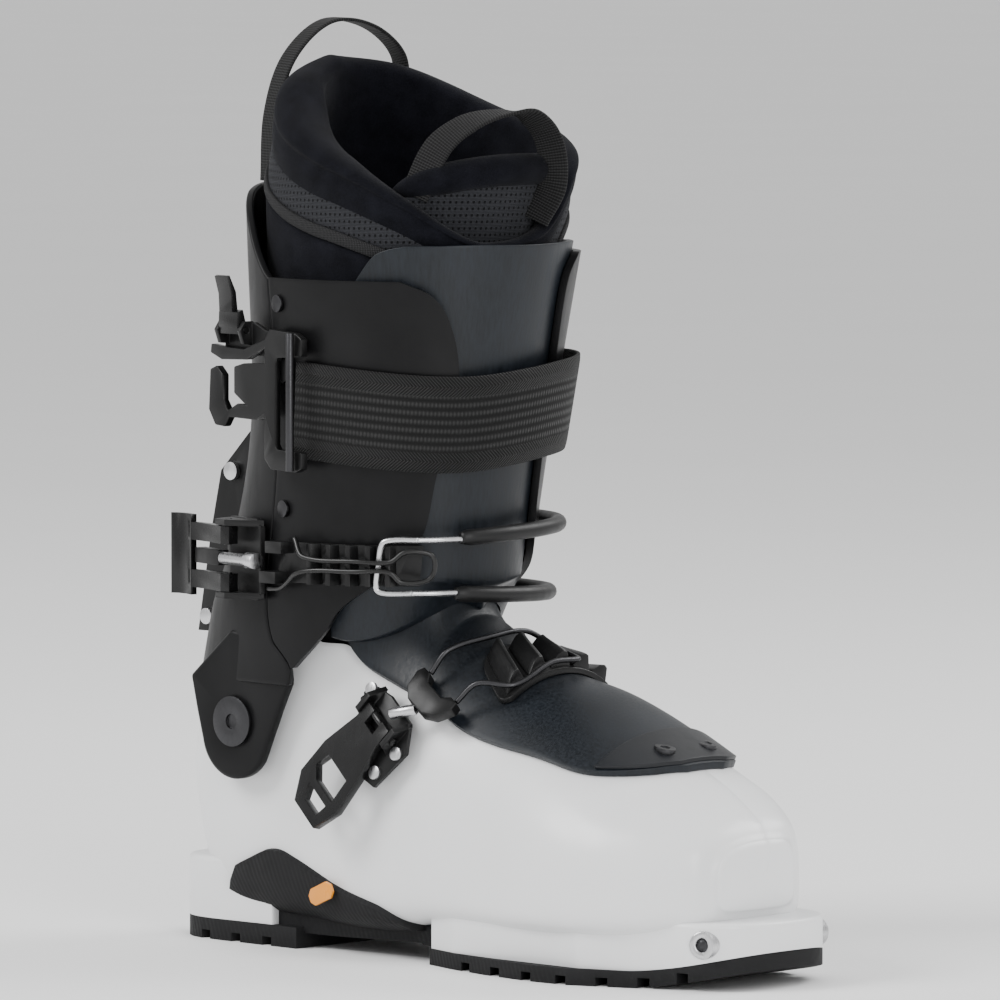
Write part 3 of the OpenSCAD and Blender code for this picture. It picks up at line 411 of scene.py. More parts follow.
class Look:
    """A material in the making: its Principled shader, and one method that adds any other node."""

    def __init__(self, name, colour, roughness, metal=0.0, coat=0.0, sheen=0.0, specular=0.5):
        self.material = bpy.data.materials.new(name)
        self.material.use_nodes = True
        self.nodes, self.links = self.material.node_tree.nodes, self.material.node_tree.links
        self.shader = self.nodes["Principled BSDF"]
        self.put("Base Color", (*colour, 1.0))
        self.put("Roughness", roughness)
        self.put("Metallic", metal)
        self.put("Coat Weight", coat)
        self.put("Coat Roughness", 0.2)
        self.put("Sheen Weight", sheen)
        self.put("Sheen Roughness", 0.4)
        self.put("Specular IOR Level", specular)

    def put(self, name, value):
        """A number or colour goes on the shader's own socket, a wire is linked to it."""
        if isinstance(value, Wire):
            self.links.new(value.socket, self.shader.inputs[name])
        else:
            self.shader.inputs[name].default_value = value

    def add(self, kind, values=(), output=0, **settings):
        """A node of the kind, its settings set first, then its inputs in order or by name."""
        node = self.nodes.new(kind)
        for key, value in settings.items():
            setattr(node, key, value)
        pairs = values.items() if isinstance(values, dict) else enumerate(values)
        for key, value in pairs:
            if isinstance(value, Wire):
                self.links.new(value.socket, node.inputs[key])
            elif value is not None:
                node.inputs[key].default_value = value
        return Wire(self, node.outputs[output])

    def place(self, scale=(1.0, 1.0, 1.0)):
        """The piece's own coordinates in metres, stretched by the scale."""
        own = self.add("ShaderNodeTexCoord", output="Object")
        return self.add("ShaderNodeMapping", {"Vector": own, "Scale": scale})

    def pattern(self):
        """The surface coordinates that cloth pieces carry, in millimetres."""
        return self.add("ShaderNodeAttribute", output="Vector", attribute_name="pattern")

    def noise(self, per_metre, detail=3.0, rough=0.5, stretch=(1.0, 1.0, 1.0)):
        """Noise in the piece's own coordinates; a stretch below 1 draws it out along that axis."""
        return self.add("ShaderNodeTexNoise", {"Vector": self.place(stretch), "Scale": per_metre,
                                               "Detail": detail, "Roughness": rough})

    def blend(self, low, high, amount):
        """Colour between two by the amount."""
        return self.add("ShaderNodeMix", {"Factor": amount, 6: (*low, 1.0), 7: (*high, 1.0)}, 2,
                        data_type="RGBA")

    def relief(self, height, depth_mm):
        """Bump of a height from 0 to 1 that is depth_mm deep."""
        self.put("Normal", self.add("ShaderNodeBump", {"Height": height, "Distance": depth_mm * MM}))


def tint(colour, by, plus=0.0):
    """The colour times by, then plus a constant."""
    return tuple(c * by + plus for c in colour)


def moulded(name, colour, roughness, grain_mm=0.35, depth=0.03, shade=0.12, coat=0.0, specular=0.5):
    """Moulded plastic: fine grain in the relief, slow change of gloss, faint handling marks."""
    look = Look(name, colour, roughness, coat=coat, specular=specular)
    slow = look.noise(22.0, 3.0)
    marks = look.noise(160.0, 5.0, 0.65, (1.0, 1.0, 0.35))
    lighter = tuple(min(1.0, c * (1 + shade) + 0.004) for c in colour)
    darker = tuple(c * (1 - shade) for c in colour)
    look.put("Base Color", look.blend(darker, lighter, slow.between(0.3, 0.7)))
    look.put("Roughness", marks.between(0.3, 0.75, roughness - 0.06, roughness + 0.08))
    look.relief(look.noise(1000.0 / grain_mm, 2.0), depth)
    return look.material


def brushed_tongue(name, colour):
    """Blue-grey plastic with fine upright brushing."""
    look = Look(name, colour, 0.36, specular=0.32)
    streaks = look.noise(900.0, 4.0, 0.7, (1.0, 1.0, 0.035))
    broad = look.noise(45.0, 2.0, 0.5, (1.0, 1.0, 0.25))
    amount = streaks * 0.65 + broad * 0.35
    bright = tint(colour, 1.5, 0.002)
    look.put("Base Color", look.blend(tint(colour, 0.6), bright, amount.between(0.38, 0.64)))
    look.put("Roughness", streaks.between(0.3, 0.7, 0.34, 0.52))
    look.relief(streaks, 0.04)
    return look.material


def metal(name, colour, roughness=0.3, stretch=(1.0, 1.0, 1.0)):
    """Bare metal with fine lines in its gloss and relief."""
    look = Look(name, colour, roughness, metal=1.0)
    lines = look.noise(1400.0, 3.0, 0.6, stretch)
    look.put("Roughness", lines.between(0.3, 0.7, roughness - 0.08, roughness + 0.12))
    look.relief(lines, 0.02)
    return look.material


def ribbed_rubber(name, colour):
    """Tread rubber: fine moulded ribs along the sides and a matt, dusty face."""
    look = Look(name, colour, 0.66, specular=0.22)
    at = look.place()
    ribs = (at.part(0) * 2600.0 + at.part(2) * 900.0).sine() * 0.5 + 0.5
    dust = look.noise(60.0, 4.0)
    dusty = tint(colour, 1.7, 0.002)
    look.put("Base Color", look.blend(colour, dusty, dust.between(0.4, 0.75)))
    look.put("Roughness", dust.between(0.3, 0.7, 0.55, 0.78))
    look.relief(ribs * 0.7 + look.noise(2500.0) * 0.3, 0.12)
    return look.material


def fleece(name, colour, fibre=0.6, sheen=0.35):
    """Brushed knit: short fibres in every direction over a soft mottling."""
    look = Look(name, colour, 0.95, sheen=sheen, specular=0.08)
    hair = look.noise(1000.0 / fibre, 5.0, 0.75)
    soft = look.noise(120.0, 3.0)
    darker, lighter = tint(colour, 0.55), tint(colour, 1.8, 0.004)
    look.put("Base Color", look.blend(darker, lighter, (hair * 0.6 + soft * 0.4).between(0.35, 0.68)))
    look.relief(hair, 0.35)
    return look.material


def spacer_mesh(name, colour, pitch=5.2, thread=1.15):
    """Knitted mesh in pattern millimetres: a fine diamond net, and dark dots on a staggered grid."""
    look = Look(name, colour, 0.85, sheen=0.02, specular=0.15)
    at = look.pattern()
    u, v = at.part(0), at.part(1)
    net = ((u + v) * (TURN / thread)).sine() * ((u - v) * (TURN / thread)).sine()
    net = net * 0.5 + 0.5
    dots = (u * (TURN / pitch)).sine() * (v * (TURN / pitch)).sine()
    hole = dots.size().between(0.72, 0.9)
    pale = tint(colour, 6, 0.024)
    look.put("Base Color", look.blend(colour, pale, net * (1.0 - hole)))
    look.relief(net * 0.55 - hole * 1.2, 0.45)
    return look.material


def strap_weave(name, colour):
    """Power strap: raised rows of stitches along its middle, twill bands along both edges."""
    look = Look(name, colour, 0.6, sheen=0.02, specular=0.3)
    at = look.pattern()
    u, v = at.part(0), at.part(1)
    rows = (v * (TURN / 3.4)).sine() * 0.5 + 0.5
    picks = (u * (TURN / 1.5)).sine() * 0.5 + 0.5
    middle = rows * (picks * 0.6 + 0.4)
    folded = (v.size() - 14.6).size()
    twill = ((u + folded) * (TURN / 1.35)).sine() * 0.5 + 0.5
    edge = v.size().between(10.6, 11.4)
    height = middle * (1.0 - edge) + twill * edge * 0.75
    darker, lighter = tint(colour, 0.35), tint(colour, 3.0, 0.007)
    look.put("Base Color", look.blend(darker, lighter, height.between(0.2, 1.0)))
    look.put("Roughness", height.between(0.0, 1.0, 0.85, 0.5))
    look.relief(height, 0.55)
    return look.material


def tape_weave(name, colour, rib=1.1):
    """Narrow webbing: ribs across, a plain selvedge at each edge."""
    look = Look(name, colour, 0.75, sheen=0.02, specular=0.22)
    at = look.pattern()
    u, v = at.part(0), at.part(1)
    ribs = (u * (TURN / rib)).sine() * 0.5 + 0.5
    threads = (v * (TURN / 0.9)).sine() * 0.5 + 0.5
    height = ribs * 0.7 + threads * 0.3
    darker, lighter = tint(colour, 0.4), tint(colour, 2.6, 0.008)
    look.put("Base Color", look.blend(darker, lighter, height.between(0.2, 0.9)))
    look.relief(height, 0.4)
    return look.material


class Materials:
    """Every finish, made once and shared."""

    made = {}

    @classmethod
    def get(cls, name):
        if name not in cls.made:
            cls.made[name] = cls.makers[name]()
        return cls.made[name]


def boot():
    """The user's settings."""
    return bpy.context.scene.boot_settings


Materials.makers = {
    "shell": lambda: moulded("shell_white", tuple(boot().shell_colour), 0.34, 0.5, 0.012, 0.02, 0.12),
    "rubber": lambda: ribbed_rubber("sole_rubber", (0.006, 0.006, 0.0065)),
    "cuff": lambda: moulded("cuff_black", tuple(boot().cuff_colour), 0.38, 0.4, 0.03, 0.2, 0.0, 0.16),
    "buckle": lambda: moulded("buckle_black", (0.004, 0.004, 0.0042), 0.36, 0.3, 0.035, 0.25, 0.0, 0.28),
    "gloss": lambda: moulded("lever_black", (0.003, 0.003, 0.0032), 0.26, 0.3, 0.02, 0.2, 0.1, 0.3),
    "tongue": lambda: brushed_tongue("tongue_grey", tuple(boot().tongue_colour)),
    "plate": lambda: moulded("toe_plate_black", (0.006, 0.007, 0.009), 0.38, 0.3, 0.04, 0.2, 0.0, 0.3),
    "gasket": lambda: moulded("gasket_rubber", (0.006, 0.007, 0.008), 0.6, 0.5, 0.05, 0.2, 0.0, 0.25),
    "steel": lambda: metal("brushed_steel", (0.62, 0.62, 0.63), 0.3, (1.0, 1.0, 0.06)),
    "dark_steel": lambda: metal("black_steel", (0.055, 0.055, 0.058), 0.38),
    "fleece": lambda: fleece("liner_fleece", (0.0022, 0.0024, 0.0045), 0.6, 0.04),
    "lining": lambda: fleece("liner_lining", (0.0018, 0.002, 0.0036), 0.9, 0.05),
    "mesh": lambda: spacer_mesh("liner_mesh", (0.0028, 0.003, 0.004)),
    "strap": lambda: strap_weave("strap_webbing", (0.0035, 0.0035, 0.0035)),
    "tape": lambda: tape_weave("loop_webbing", (0.005, 0.005, 0.0052)),
    "binding": lambda: tape_weave("binding_tape", (0.006, 0.006, 0.0066), 0.8),
    "cable": lambda: moulded("cable_black", (0.004, 0.004, 0.004), 0.3, 0.3, 0.02, 0.2, 0.1, 0.35),
    "sleeve": lambda: moulded("sleeve_rubber", (0.004, 0.004, 0.0042), 0.45, 0.4, 0.04, 0.2, 0.0, 0.3),
    "orange": lambda: moulded("trim_orange", (0.78, 0.28, 0.015), 0.3, 0.4, 0.01, 0.06, 0.3),
    "board": lambda: moulded("board_grey", (0.05, 0.05, 0.055), 0.6),
    "insole": lambda: fleece("insole_felt", (0.05, 0.052, 0.06)),
}


# ---------- lower boot ----------


def end_round(centre, rx, ry, n, a0, a1, count=30):
    """Arc of a superellipse: an end of the sole seen from above."""
    a = np.radians(np.linspace(a0, a1, count))
    c, s = np.cos(a), np.sin(a)
    return np.stack([centre + rx * bent(c, n), ry * bent(s, n)], 1)


def plan_points(outline, count):
    """Closed outline taken at even steps of its length."""
    p = np.asarray(outline, float)
    p = np.concatenate([p, p[:1]])
    run = run_of(p)
    at = np.linspace(0, run[-1], count, endpoint=False)
    return np.stack([np.interp(at, run, p[:, i]) for i in range(2)], 1)


def inset(plan, amount):
    """The plan moved inwards along its own normals."""
    t = unit(np.roll(plan, -1, 0) - np.roll(plan, 1, 0))
    return plan + np.stack([-t[:, 1], t[:, 0]], 1) * amount


def block(plan, levels):
    """Solid on a plan: rings at (inset, height) levels from the bottom up."""
    return ringed(np.array([np.column_stack([inset(plan, amount), np.full(len(plan), float(z))])
                            for amount, z in levels]))


def rounded_top(top):
    """Levels of a quarter circle that rounds a block's top edge."""
    angles = np.radians([90, 60, 30, 0])
    return [(BLOCK_ROUND * (1 - math.sin(a)), top - BLOCK_ROUND * (1 - math.cos(a))) for a in angles]


RUBBER = 8.5
HEEL_TOP = 33.0
TOE_TOP = 26.0
ROCKER_X = 258.0
ROCKER_RISE = 8.0
BLOCK_ROUND = 1.6


def tread_z(x):
    """Height of the tread: level, then rising to the toe by a power of the way along."""
    return ROCKER_RISE * np.clip((x - ROCKER_X) / (LENGTH - ROCKER_X), 0, None) ** 1.5


def toe_plan():
    """The white block over the fore rubber: narrow behind the shell's swell, full at the toe."""
    tip = end_round(LENGTH - 40, 40, 37, 2.8, -80, 80, 60)
    outer = [[151, -38], [168, -43.5], [190, -46.5], [215, -47.5], [238, -48.5]]
    inner = [[238, 41.5], [215, 41], [190, 41], [168, 38.5], [151, 35]]
    return plan_points(np.concatenate([outer, tip, inner]), 220)


def heel_plan():
    """The white heel block over its rubber: round behind, cut straight at the arch."""
    back = end_round(40, 40, 33, 3.4, 92, 268, 60)
    return plan_points(np.concatenate([back, [[60, -33.6], [60, 33.2]]]), 150)


def rim_angle(k):
    """How far the shell's rim lies from the ridge at each station, in degrees, over the outer side."""
    return curve([(-74, 84), (-64, 72), (-54, 59), (-27, 49), (4, 45), (38, 45), (66, 43), (80, 30),
                  (88, 8), (90, 0)], k)


def shell_skin(off):
    """Grid of the shell from rim to rim under the foot, its last rows drawn in to close the toe."""
    along = np.concatenate([np.linspace(-73, -2, 70), np.linspace(0, 148, 110)])
    t = np.linspace(0, 1, 110)
    k, t = np.meshgrid(along, t, indexing="ij")
    rim = rim_angle(k)
    points = shell_point(k, mix(rim, 360 - rim, t), off)
    bulge = np.sin(np.linspace(0, np.pi / 2, 12))[1:, None, None]
    last = points[-1]
    middle = last.mean(0)
    shrink = np.sqrt(1 - bulge**2) ** 0.9
    cap = middle + (last - middle) * shrink
    cap[..., 0] = last[:, 0] + (4.0 + off) * bulge[..., 0]
    return np.concatenate([points, cap])


def make_shell():
    """Lower shell: the foot's skin with its rim, the toe block and the heel block with their ledges."""
    skin = slab(shell_skin(0.0), shell_skin(-SHELL_WALL))
    toe = block(toe_plan(), [(3, 9), (0, 9), (0, TOE_TOP - BLOCK_ROUND)] + rounded_top(TOE_TOP)
                + [(9, TOE_TOP), (22, TOE_TOP)])
    x = toe[0][:, 0]
    low = toe[0][:, 2] < 12
    toe[0][low, 2] = (RUBBER - 2 + tread_z(x))[low]
    heel = block(heel_plan(), [(3, RUBBER), (0, RUBBER), (0, HEEL_TOP - BLOCK_ROUND)]
                 + rounded_top(HEEL_TOP) + [(6, HEEL_TOP), (14, HEEL_TOP)])
    piece("shell_moulding", [skin, toe, heel], "shell", SHELL_BODY, ["lower_shell"],
          (0.5, 50, 2))


WING_TOP = [(-39, 116), (-35, 101), (-29, 98), (-20, 101), (-8, 109), (-4, 120), (-1, 142), (2, 172)]


def make_outsole():
    """Outsole: heel and fore treads cut into lugs, and the wings that climb the arch on both sides."""
    parts = []
    k, t = spans(-39, 2, 46, 0, 1, 30)
    for side in (1, -1):
        a = side * mix(curve(WING_TOP, k), 183, t)
        parts.append(slab(shell_point(k, a, 2.2), shell_point(k, a, -0.6)))
    piece("arch_wings", parts, "rubber", SHELL_BODY, edges=(0.7, 40, 3))
    dress("rubber", 0.5, "outsole", angle=32)


SOCKET_BACK, SOCKET_Y, SOCKET_Z = 15.0, 33.1, 18.0
# Radius of the dark plugs that paint the shade deep inside the toe sockets.
SOCKET_SHADE_R = 2.85
# The rim's section: radius, and how far it stands out from the toe block.
SOCKET_RIM = [(5.4, -1.0), (5.4, 0.35), (5.0, 0.7), (3.2, 0.7), (2.8, 0.3), (2.8, -1.0)]


def make_fittings():
    """Toe and heel inserts, badge, board, footbed, and the shell's small metal."""
    dress("steel", 0.25, "toe_inserts", "heel_insert", "lock_anchor", "instep_rivets", "instep_anchor")
    dress("orange", 0.3, "sole_badge")
    rims, shade_plugs = [], []
    turn = np.linspace(0, TURN, 40, endpoint=False)
    for s in (-1, 1):
        out = unit(np.array([0.44, s * 0.9, 0.0]))
        across = np.array([out[1], -out[0], 0.0]) * s
        centre = np.array([LENGTH - SOCKET_BACK, s * SOCKET_Y, SOCKET_Z])
        ring = np.cos(turn)[:, None] * across + np.sin(turn)[:, None] * np.array([0, 0, 1.0])
        rims.append(ringed(np.array([centre + ring * radius + out * lift for radius, lift in SOCKET_RIM]),
                           close=True))
        # Dark steel plug filling each socket's bore below the rim's top: painted shade for the hole's
        # depth.
        shade_plugs.append(ringed(np.array([centre + ring * SOCKET_SHADE_R + out * lift
                                      for lift in (-0.9, 0.12)])))
    piece("socket_rims", rims, "steel", SHELL_BODY)
    piece("socket_shade_plugs", shade_plugs, "dark_steel", SHELL_BODY)
    dress("board", 0.3, "boot_board")
    dress("insole", 0.4, "footbed")
    dress("dark_steel", 0.3, "toe_plate_bolts", "pivot_bolts")


# ---------- tongues ----------

TONGUE_OUTER = [(-56, 59), (-27, 51), (4, 47), (38, 47), (68, 45.5), (86, 43), (98, 36), (107, 24),
                (112, 8)]
TONGUE_INNER = [(-56, 60), (-27, 54), (4, 50), (60, 48), (86, 45), (98, 38), (107, 25), (112, 9)]


def tongue_grid(k0, k1, rows, off, trim=0.0, columns=61):
    """Grid on the shell between the tongue's two edges, drawn in by trim degrees."""
    k, t = spans(k0, k1, rows, 0, 1, columns)
    a = mix(curve(TONGUE_OUTER, k) - trim, trim - curve(TONGUE_INNER, k), t)
    return shell_point(k, a, off)


def make_instep_tongue():
    """Instep tongue, the bolted toe plate over its end, and the gasket in the throat under it."""
    top = TONGUE_GAP + TONGUE_WALL
    tongue = slab(tongue_grid(-56, 112, 120, top), tongue_grid(-56, 112, 120, TONGUE_GAP))
    piece("instep_tongue_skin", [tongue], "tongue", SHELL_BODY, ["instep_tongue"],
          (0.7, 45, 3))
    plate = slab(tongue_grid(92, 111, 24, top + 1.6, 1.0), tongue_grid(92, 111, 24, top + 0.1, 1.0))
    piece("toe_plate_skin", [plate], "plate", SHELL_BODY, ["toe_plate"], (0.6, 45, 3))
    k, a = spans(-66, 30, 60, 74, -74, 60)
    gasket = slab(shell_point(k, a, -SHELL_WALL - 0.2), shell_point(k, a, -SHELL_WALL - 1.5))
    piece("throat_gasket_skin", [gasket], "gasket", SHELL_BODY, ["throat_gasket"])


SHIN_K = [(0, -3), (20, -15), (30, -22), (52, -46), (76, -60)]
SHIN_A = [(0, 0), (20, 12), (30, 24), (52, 50), (76, 64)]
SHIN_TOP = [(0, 281), (40, 281), (66, 278), (76, 264)]
SHIN_LOW = [(0, 146), (40, 150), (76, 152)]


def shin_point(u, a, off_cuff, off_shell):
    """Shin tongue: down the cuff for three quarters of its length, then eased on to the shell."""
    b = np.abs(a)
    top, low = curve(SHIN_TOP, b), curve(SHIN_LOW, b)
    on_cuff = cuff_point(mix(top, low, np.minimum(u / 0.75, 1)), a, off_cuff)
    on_shell = shell_point(curve(SHIN_K, b), np.sign(a) * curve(SHIN_A, b), off_shell)
    t = np.clip((u - 0.75) * 4, 0, 1)[..., None]
    return mix(on_cuff, on_shell, t)


def make_shin_tongue():
    """Shin tongue, bending between the lower boot and the cuff."""
    u, a = spans(0, 1, 120, 76, -76, 100)
    sheet = slab(shin_point(u, a, -0.6, 6.0), shin_point(u, a, -3.2, 3.8))
    tongue = piece("shin_tongue_skin", [sheet], "tongue", None, ["shin_tongue"],
                   (0.7, 45, 3))
    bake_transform(tongue)


# ---------- cuff ----------

SEAM = [(100, 84), (113, 84), (124, 92), (144, 98), (160, 101), (200, 105), (270, 112)]
WRAP_FRONT = [(113, 82.5), (128, 72), (138, 67), (147, 56), (152, 46), (168, 38), (191, 35), (210, 31),
              (232, 30), (252, 36), (262, 44), (267, 56)]
INNER_FRONT = [(113, 82.5), (128, 72), (138, 67), (147, 52), (156, 38), (168, 28), (191, 24),
               (232, 22), (258, 20), (270, 22), (277, 30)]
FRAME_TOP = [(100, 264), (112, 267), (122, 276), (136, 291), (152, 300), (180, 304)]
PIVOT = (52.0, 90.0)
ARM_Y = (43.0, 46.3)


def frame_grid(off, rows=90, columns=120):
    """Cuff frame round the heel between its two seams, its top edge rising to the spoiler."""
    u, t = spans(0, 1, rows, 0, 1, columns)
    seam = curve(SEAM, mix(106, 266, u))
    a = mix(seam, 360 - seam, t)
    b = np.where(a > 180, 360 - a, a)
    return cuff_point(mix(106, curve(FRAME_TOP, b), u), a, off)


def wrap_grid(front, top, off, mirrored):
    """Cuff wrap from its free front edge back to the seam."""
    z, t = spans(113.2, top, 100, 0, 1, 60)
    points = cuff_point(z, mix(curve(front, z), curve(SEAM, z) - 0.5, t), off)
    if mirrored:
        points[..., 1] *= -1
    return points


def arm_outline():
    """The pivot arm in side view: straight flanks, round eye under the bolt."""
    a = np.radians(np.linspace(190, 325, 28))
    eye = np.stack([PIVOT[0] + 18 * np.cos(a), PIVOT[1] - 5 + 18 * np.sin(a)], 1)
    front = [[77, 97], [82, 107], [81, 113], [72, 124], [50, 126]]
    return plan_points(np.concatenate([[[28, 107], [31, 94]], eye, front]), 90)


def ring_plate(outline, hole, y0, y1):
    """Flat plate between two faces with a round hole: rings run hole, outline, outline, hole, and the
    last joins the first."""
    angle = np.arctan2(outline[:, 1] - hole[1], outline[:, 0] - hole[0])
    eye = np.stack([hole[0] + hole[2] * np.cos(angle), hole[1] + hole[2] * np.sin(angle)], 1)
    edge = 0.8
    t = unit(outline - np.array(hole[:2]))
    rings = [(eye, y0), (outline - t * edge, y0), (outline, y0 + edge * np.sign(y1 - y0)),
             (outline, y1), (eye, y1)]
    grid = np.array([np.stack([p[:, 0], np.full(len(p), y), p[:, 1]], 1) for p, y in rings])
    return ringed(grid, close=True)


def make_cuff():
    """Cuff frame with its arms, and the two wraps riveted to it."""
    parts = [slab(frame_grid(CUFF_WALL), frame_grid(0.0))]
    for s in (-1, 1):
        parts.append(ring_plate(arm_outline(), (*PIVOT, 7.05), s * (ARM_Y[1] + 0.9), s * ARM_Y[0]))
    piece("cuff_frame_skin", parts, "cuff", CUFF_BODY, ["cuff_frame"], (0.8, 45, 3))
    for name, node, front, top, mirrored in (
        ("outer_wrap_skin", "cuff_wrap_lateral", WRAP_FRONT, 267, False),
        ("inner_wrap_skin", "cuff_wrap_medial", INNER_FRONT, 277, True),
    ):
        wrap = slab(wrap_grid(front, top, CUFF_WALL, mirrored), wrap_grid(front, top, 0.0, mirrored))
        piece(name, [wrap], "cuff", CUFF_BODY, [node], (0.8, 45, 3))


def make_walk_lock():
    """Walk lock: housing, lever, bar and their screws, and the cuff's rivets."""
    dress("buckle", 0.4, "lock_housing")
    dress("gloss", 0.5, "walk_lever")
    dress("steel", 0.3, "lock_bar")
    dress("steel", 0.25, "housing_screws")
    dress("dark_steel", 0.25, "cuff_rivets")


# ---------- liner ----------

COLLAR_DROP = [(-180, 0), (-140, 5), (-90, 23), (-60, 31), (-30, 43), (-8, 65), (20, 71), (35, 67),
               (60, 53), (90, 37), (130, 18), (150, 8), (180, 0)]
COLLAR_THICK = [(-180, 13), (-140, 12), (-90, 10), (-40, 8), (0, 6.5), (40, 7), (70, 10), (95, 15),
                (130, 19), (155, 16), (180, 13)]
ROLL_FULL = 23.0
ROLL_SHARE = [(-180, 1), (-60, 0.8), (0, 0.62), (40, 0.62), (110, 1), (180, 1)]
SHAFT_LOW = 176.0
TONGUE_LOW, TONGUE_TOP, TONGUE_DIP, TONGUE_HALF = 175.0, 317.0, 9.0, 66.0


def half_turn(a):
    """Angle brought to between -180 and 180."""
    return (np.asarray(a, float) + 180) % 360 - 180


def collar_top(a):
    return LINER_TOP - curve(COLLAR_DROP, half_turn(a))


def roll_depth(a):
    """Height of the collar's roll: a share of its full depth, least over the instep."""
    return ROLL_FULL * curve(ROLL_SHARE, half_turn(a))


def make_collar():
    """Liner's shaft: smooth cloth below, a band of knitted mesh, and a rolled fleece collar that is
    thick behind the ankle bone's side and thin at the front."""
    a = np.linspace(0, 360, 180, endpoint=False)
    top = collar_top(a)[:, None]
    thick = curve(COLLAR_THICK, half_turn(a))[:, None]
    roll = roll_depth(a)[:, None]
    crown = thick * 0.42
    angle = np.linspace(0, np.pi, 17)[None, :]
    rim_off = LINER_OFF - thick / 2 + (thick / 2 + 0.9) * np.cos(angle)
    rim_z = top - crown + crown * np.sin(angle)
    up = np.linspace(0, 1, 9)[None, :]
    outer_z = top - roll + (roll - crown) * up
    outer_off = LINER_OFF - 1.6 * (1 - np.sin(np.pi * up * 0.5)) + 0.9 * np.sin(np.pi * up)
    inner = np.linspace(0, 1, 16)[None, 1:]
    inner_z = mix(rim_z[:, -1:], SHAFT_LOW, inner)
    inner_off = LINER_OFF - mix(thick, 6.5, smooth_step(0, 0.45, inner)) - 1.0
    back_z = mix(SHAFT_LOW, top - roll, np.linspace(0, 1, 16)[None, :])
    back_off = np.full(back_z.shape, LINER_OFF - 2.2)
    back_off[:, -1:] = LINER_OFF - 2.6
    outer_off = np.broadcast_to(outer_off, outer_z.shape)
    z = np.concatenate([outer_z, rim_z, inner_z, back_z[:, 1:]], 1)
    off = np.concatenate([outer_off, rim_off, inner_off, back_off[:, 1:]], 1)
    rings = ringed(cuff_point(z, a[:, None], off), close=True)
    piece("collar_roll", [rings], "fleece", CUFF_BODY, ["liner_cuff"])
    around = np.linspace(0, 360, 241)
    tape_drop = curve([(-180, 12), (-60, 10), (0, 7), (40, 7), (110, 11), (180, 12)], half_turn(around))
    roll_low = collar_top(around) - roll_depth(around)
    tape_z = roll_low - tape_drop
    run = run_of(cuff_point(tape_z, around, 0))

    def band(name, low, high, off, thickness, rows, material):
        """Closed band round the liner between two heights."""
        t = np.linspace(0, 1, rows)[:, None]
        height = mix(low[None, :], high[None, :], t)
        swell = off + thickness * 0.35 * np.sin(np.pi * t)
        outer = cuff_point(height, around[None, :], swell)
        inner_side = cuff_point(height, around[None, :], off - thickness)
        flat = np.stack([np.broadcast_to(run, height.shape), height], -1)
        piece(name, [slab(outer, inner_side)], material, CUFF_BODY,
              pattern=[np.concatenate([flat.reshape(-1, 2)] * 2)])

    band("collar_mesh_band", tape_z + 1.5, roll_low + 3.0, LINER_OFF - 0.6, 1.4, 8, "mesh")
    band("collar_tape", tape_z - 2.4, tape_z + 2.4, LINER_OFF + 0.5, 1.2, 7, "binding")
    band("liner_shaft", np.full(len(around), SHAFT_LOW), tape_z - 1.6, LINER_OFF - 0.5, 1.5, 24, "fleece")


def tongue_top(a):
    """Height of the tongue's top edge: highest at its middle, dipping by a power of the way out."""
    return TONGUE_TOP - TONGUE_DIP * (np.abs(a) / TONGUE_HALF) ** 2.2


def make_liner_tongue():
    """Liner tongue: a knitted mesh front with a padded roll along its top edge."""
    columns = np.linspace(TONGUE_HALF, -TONGUE_HALF, 80)
    z = mix(TONGUE_LOW, tongue_top(columns)[None, :] - 10, np.linspace(0, 1, 50)[:, None])
    a = np.broadcast_to(columns, z.shape)
    off = LINER_OFF - 8.2
    front = slab(cuff_point(z, a, off), cuff_point(z, a, off - 6))
    arc = np.radians(columns) * 52
    flat = np.stack([np.broadcast_to(arc, z.shape), z], -1).reshape(-1, 2)
    piece("tongue_mesh_face", [front], "mesh", CUFF_BODY, ["liner_tongue"],
          (1.0, 45, 3), [np.concatenate([flat, flat])])
    path_a = np.linspace(68, -68, 70)
    path = cuff_point(tongue_top(path_a) - 7, path_a, LINER_OFF - 11.4)
    swell = 6.4 * np.clip(1 - (np.abs(path_a) / 69) ** 8, 0.05, 1)
    piece("tongue_roll", [tube(path, swell, 20)], "fleece", CUFF_BODY)


def make_liner_foot():
    """Liner inside the shell, and its soft ankle that folds between shell and cuff."""
    along = np.concatenate([np.linspace(-70, -2, 50), np.linspace(0, 141, 60)])
    k, t = np.meshgrid(along, np.linspace(0, 1, 70), indexing="ij")
    rim = rim_angle(k) + 2
    a = mix(rim, 360 - rim, t)
    foot = slab(shell_point(k, a, -SHELL_WALL - 1.8), shell_point(k, a, -SHELL_WALL - 7.5))
    piece("liner_foot_skin", [foot], "lining", SHELL_BODY, ["liner_foot"])
    t, a = np.meshgrid(np.linspace(0, 1, 30), np.linspace(0, 360, 120, endpoint=False), indexing="ij")

    def ankle(off):
        low = shell_point(-68, a, off - SHELL_WALL - 3) + np.array([0, 0, 1.5])
        return mix(low, cuff_point(179.0, a, LINER_OFF - 2.5 + off), t[..., None])

    outer, inner_side = ankle(0.0), ankle(-3.0)
    rings = np.concatenate([outer, inner_side[::-1]])
    gaiter = piece("liner_ankle_skin", [ringed(rings, close=True)], "lining", None,
                   ["liner_ankle"])
    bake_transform(gaiter)


# ---------- webbing ----------

STRAP_MID = [(-150, 216), (-60, 218), (-20, 216), (30, 211), (95, 216)]
STRAP_OUT = [(-150, 0.8), (-80, 2), (-45, 5), (-10, 2.2), (30, 0.8), (95, 1.6)]


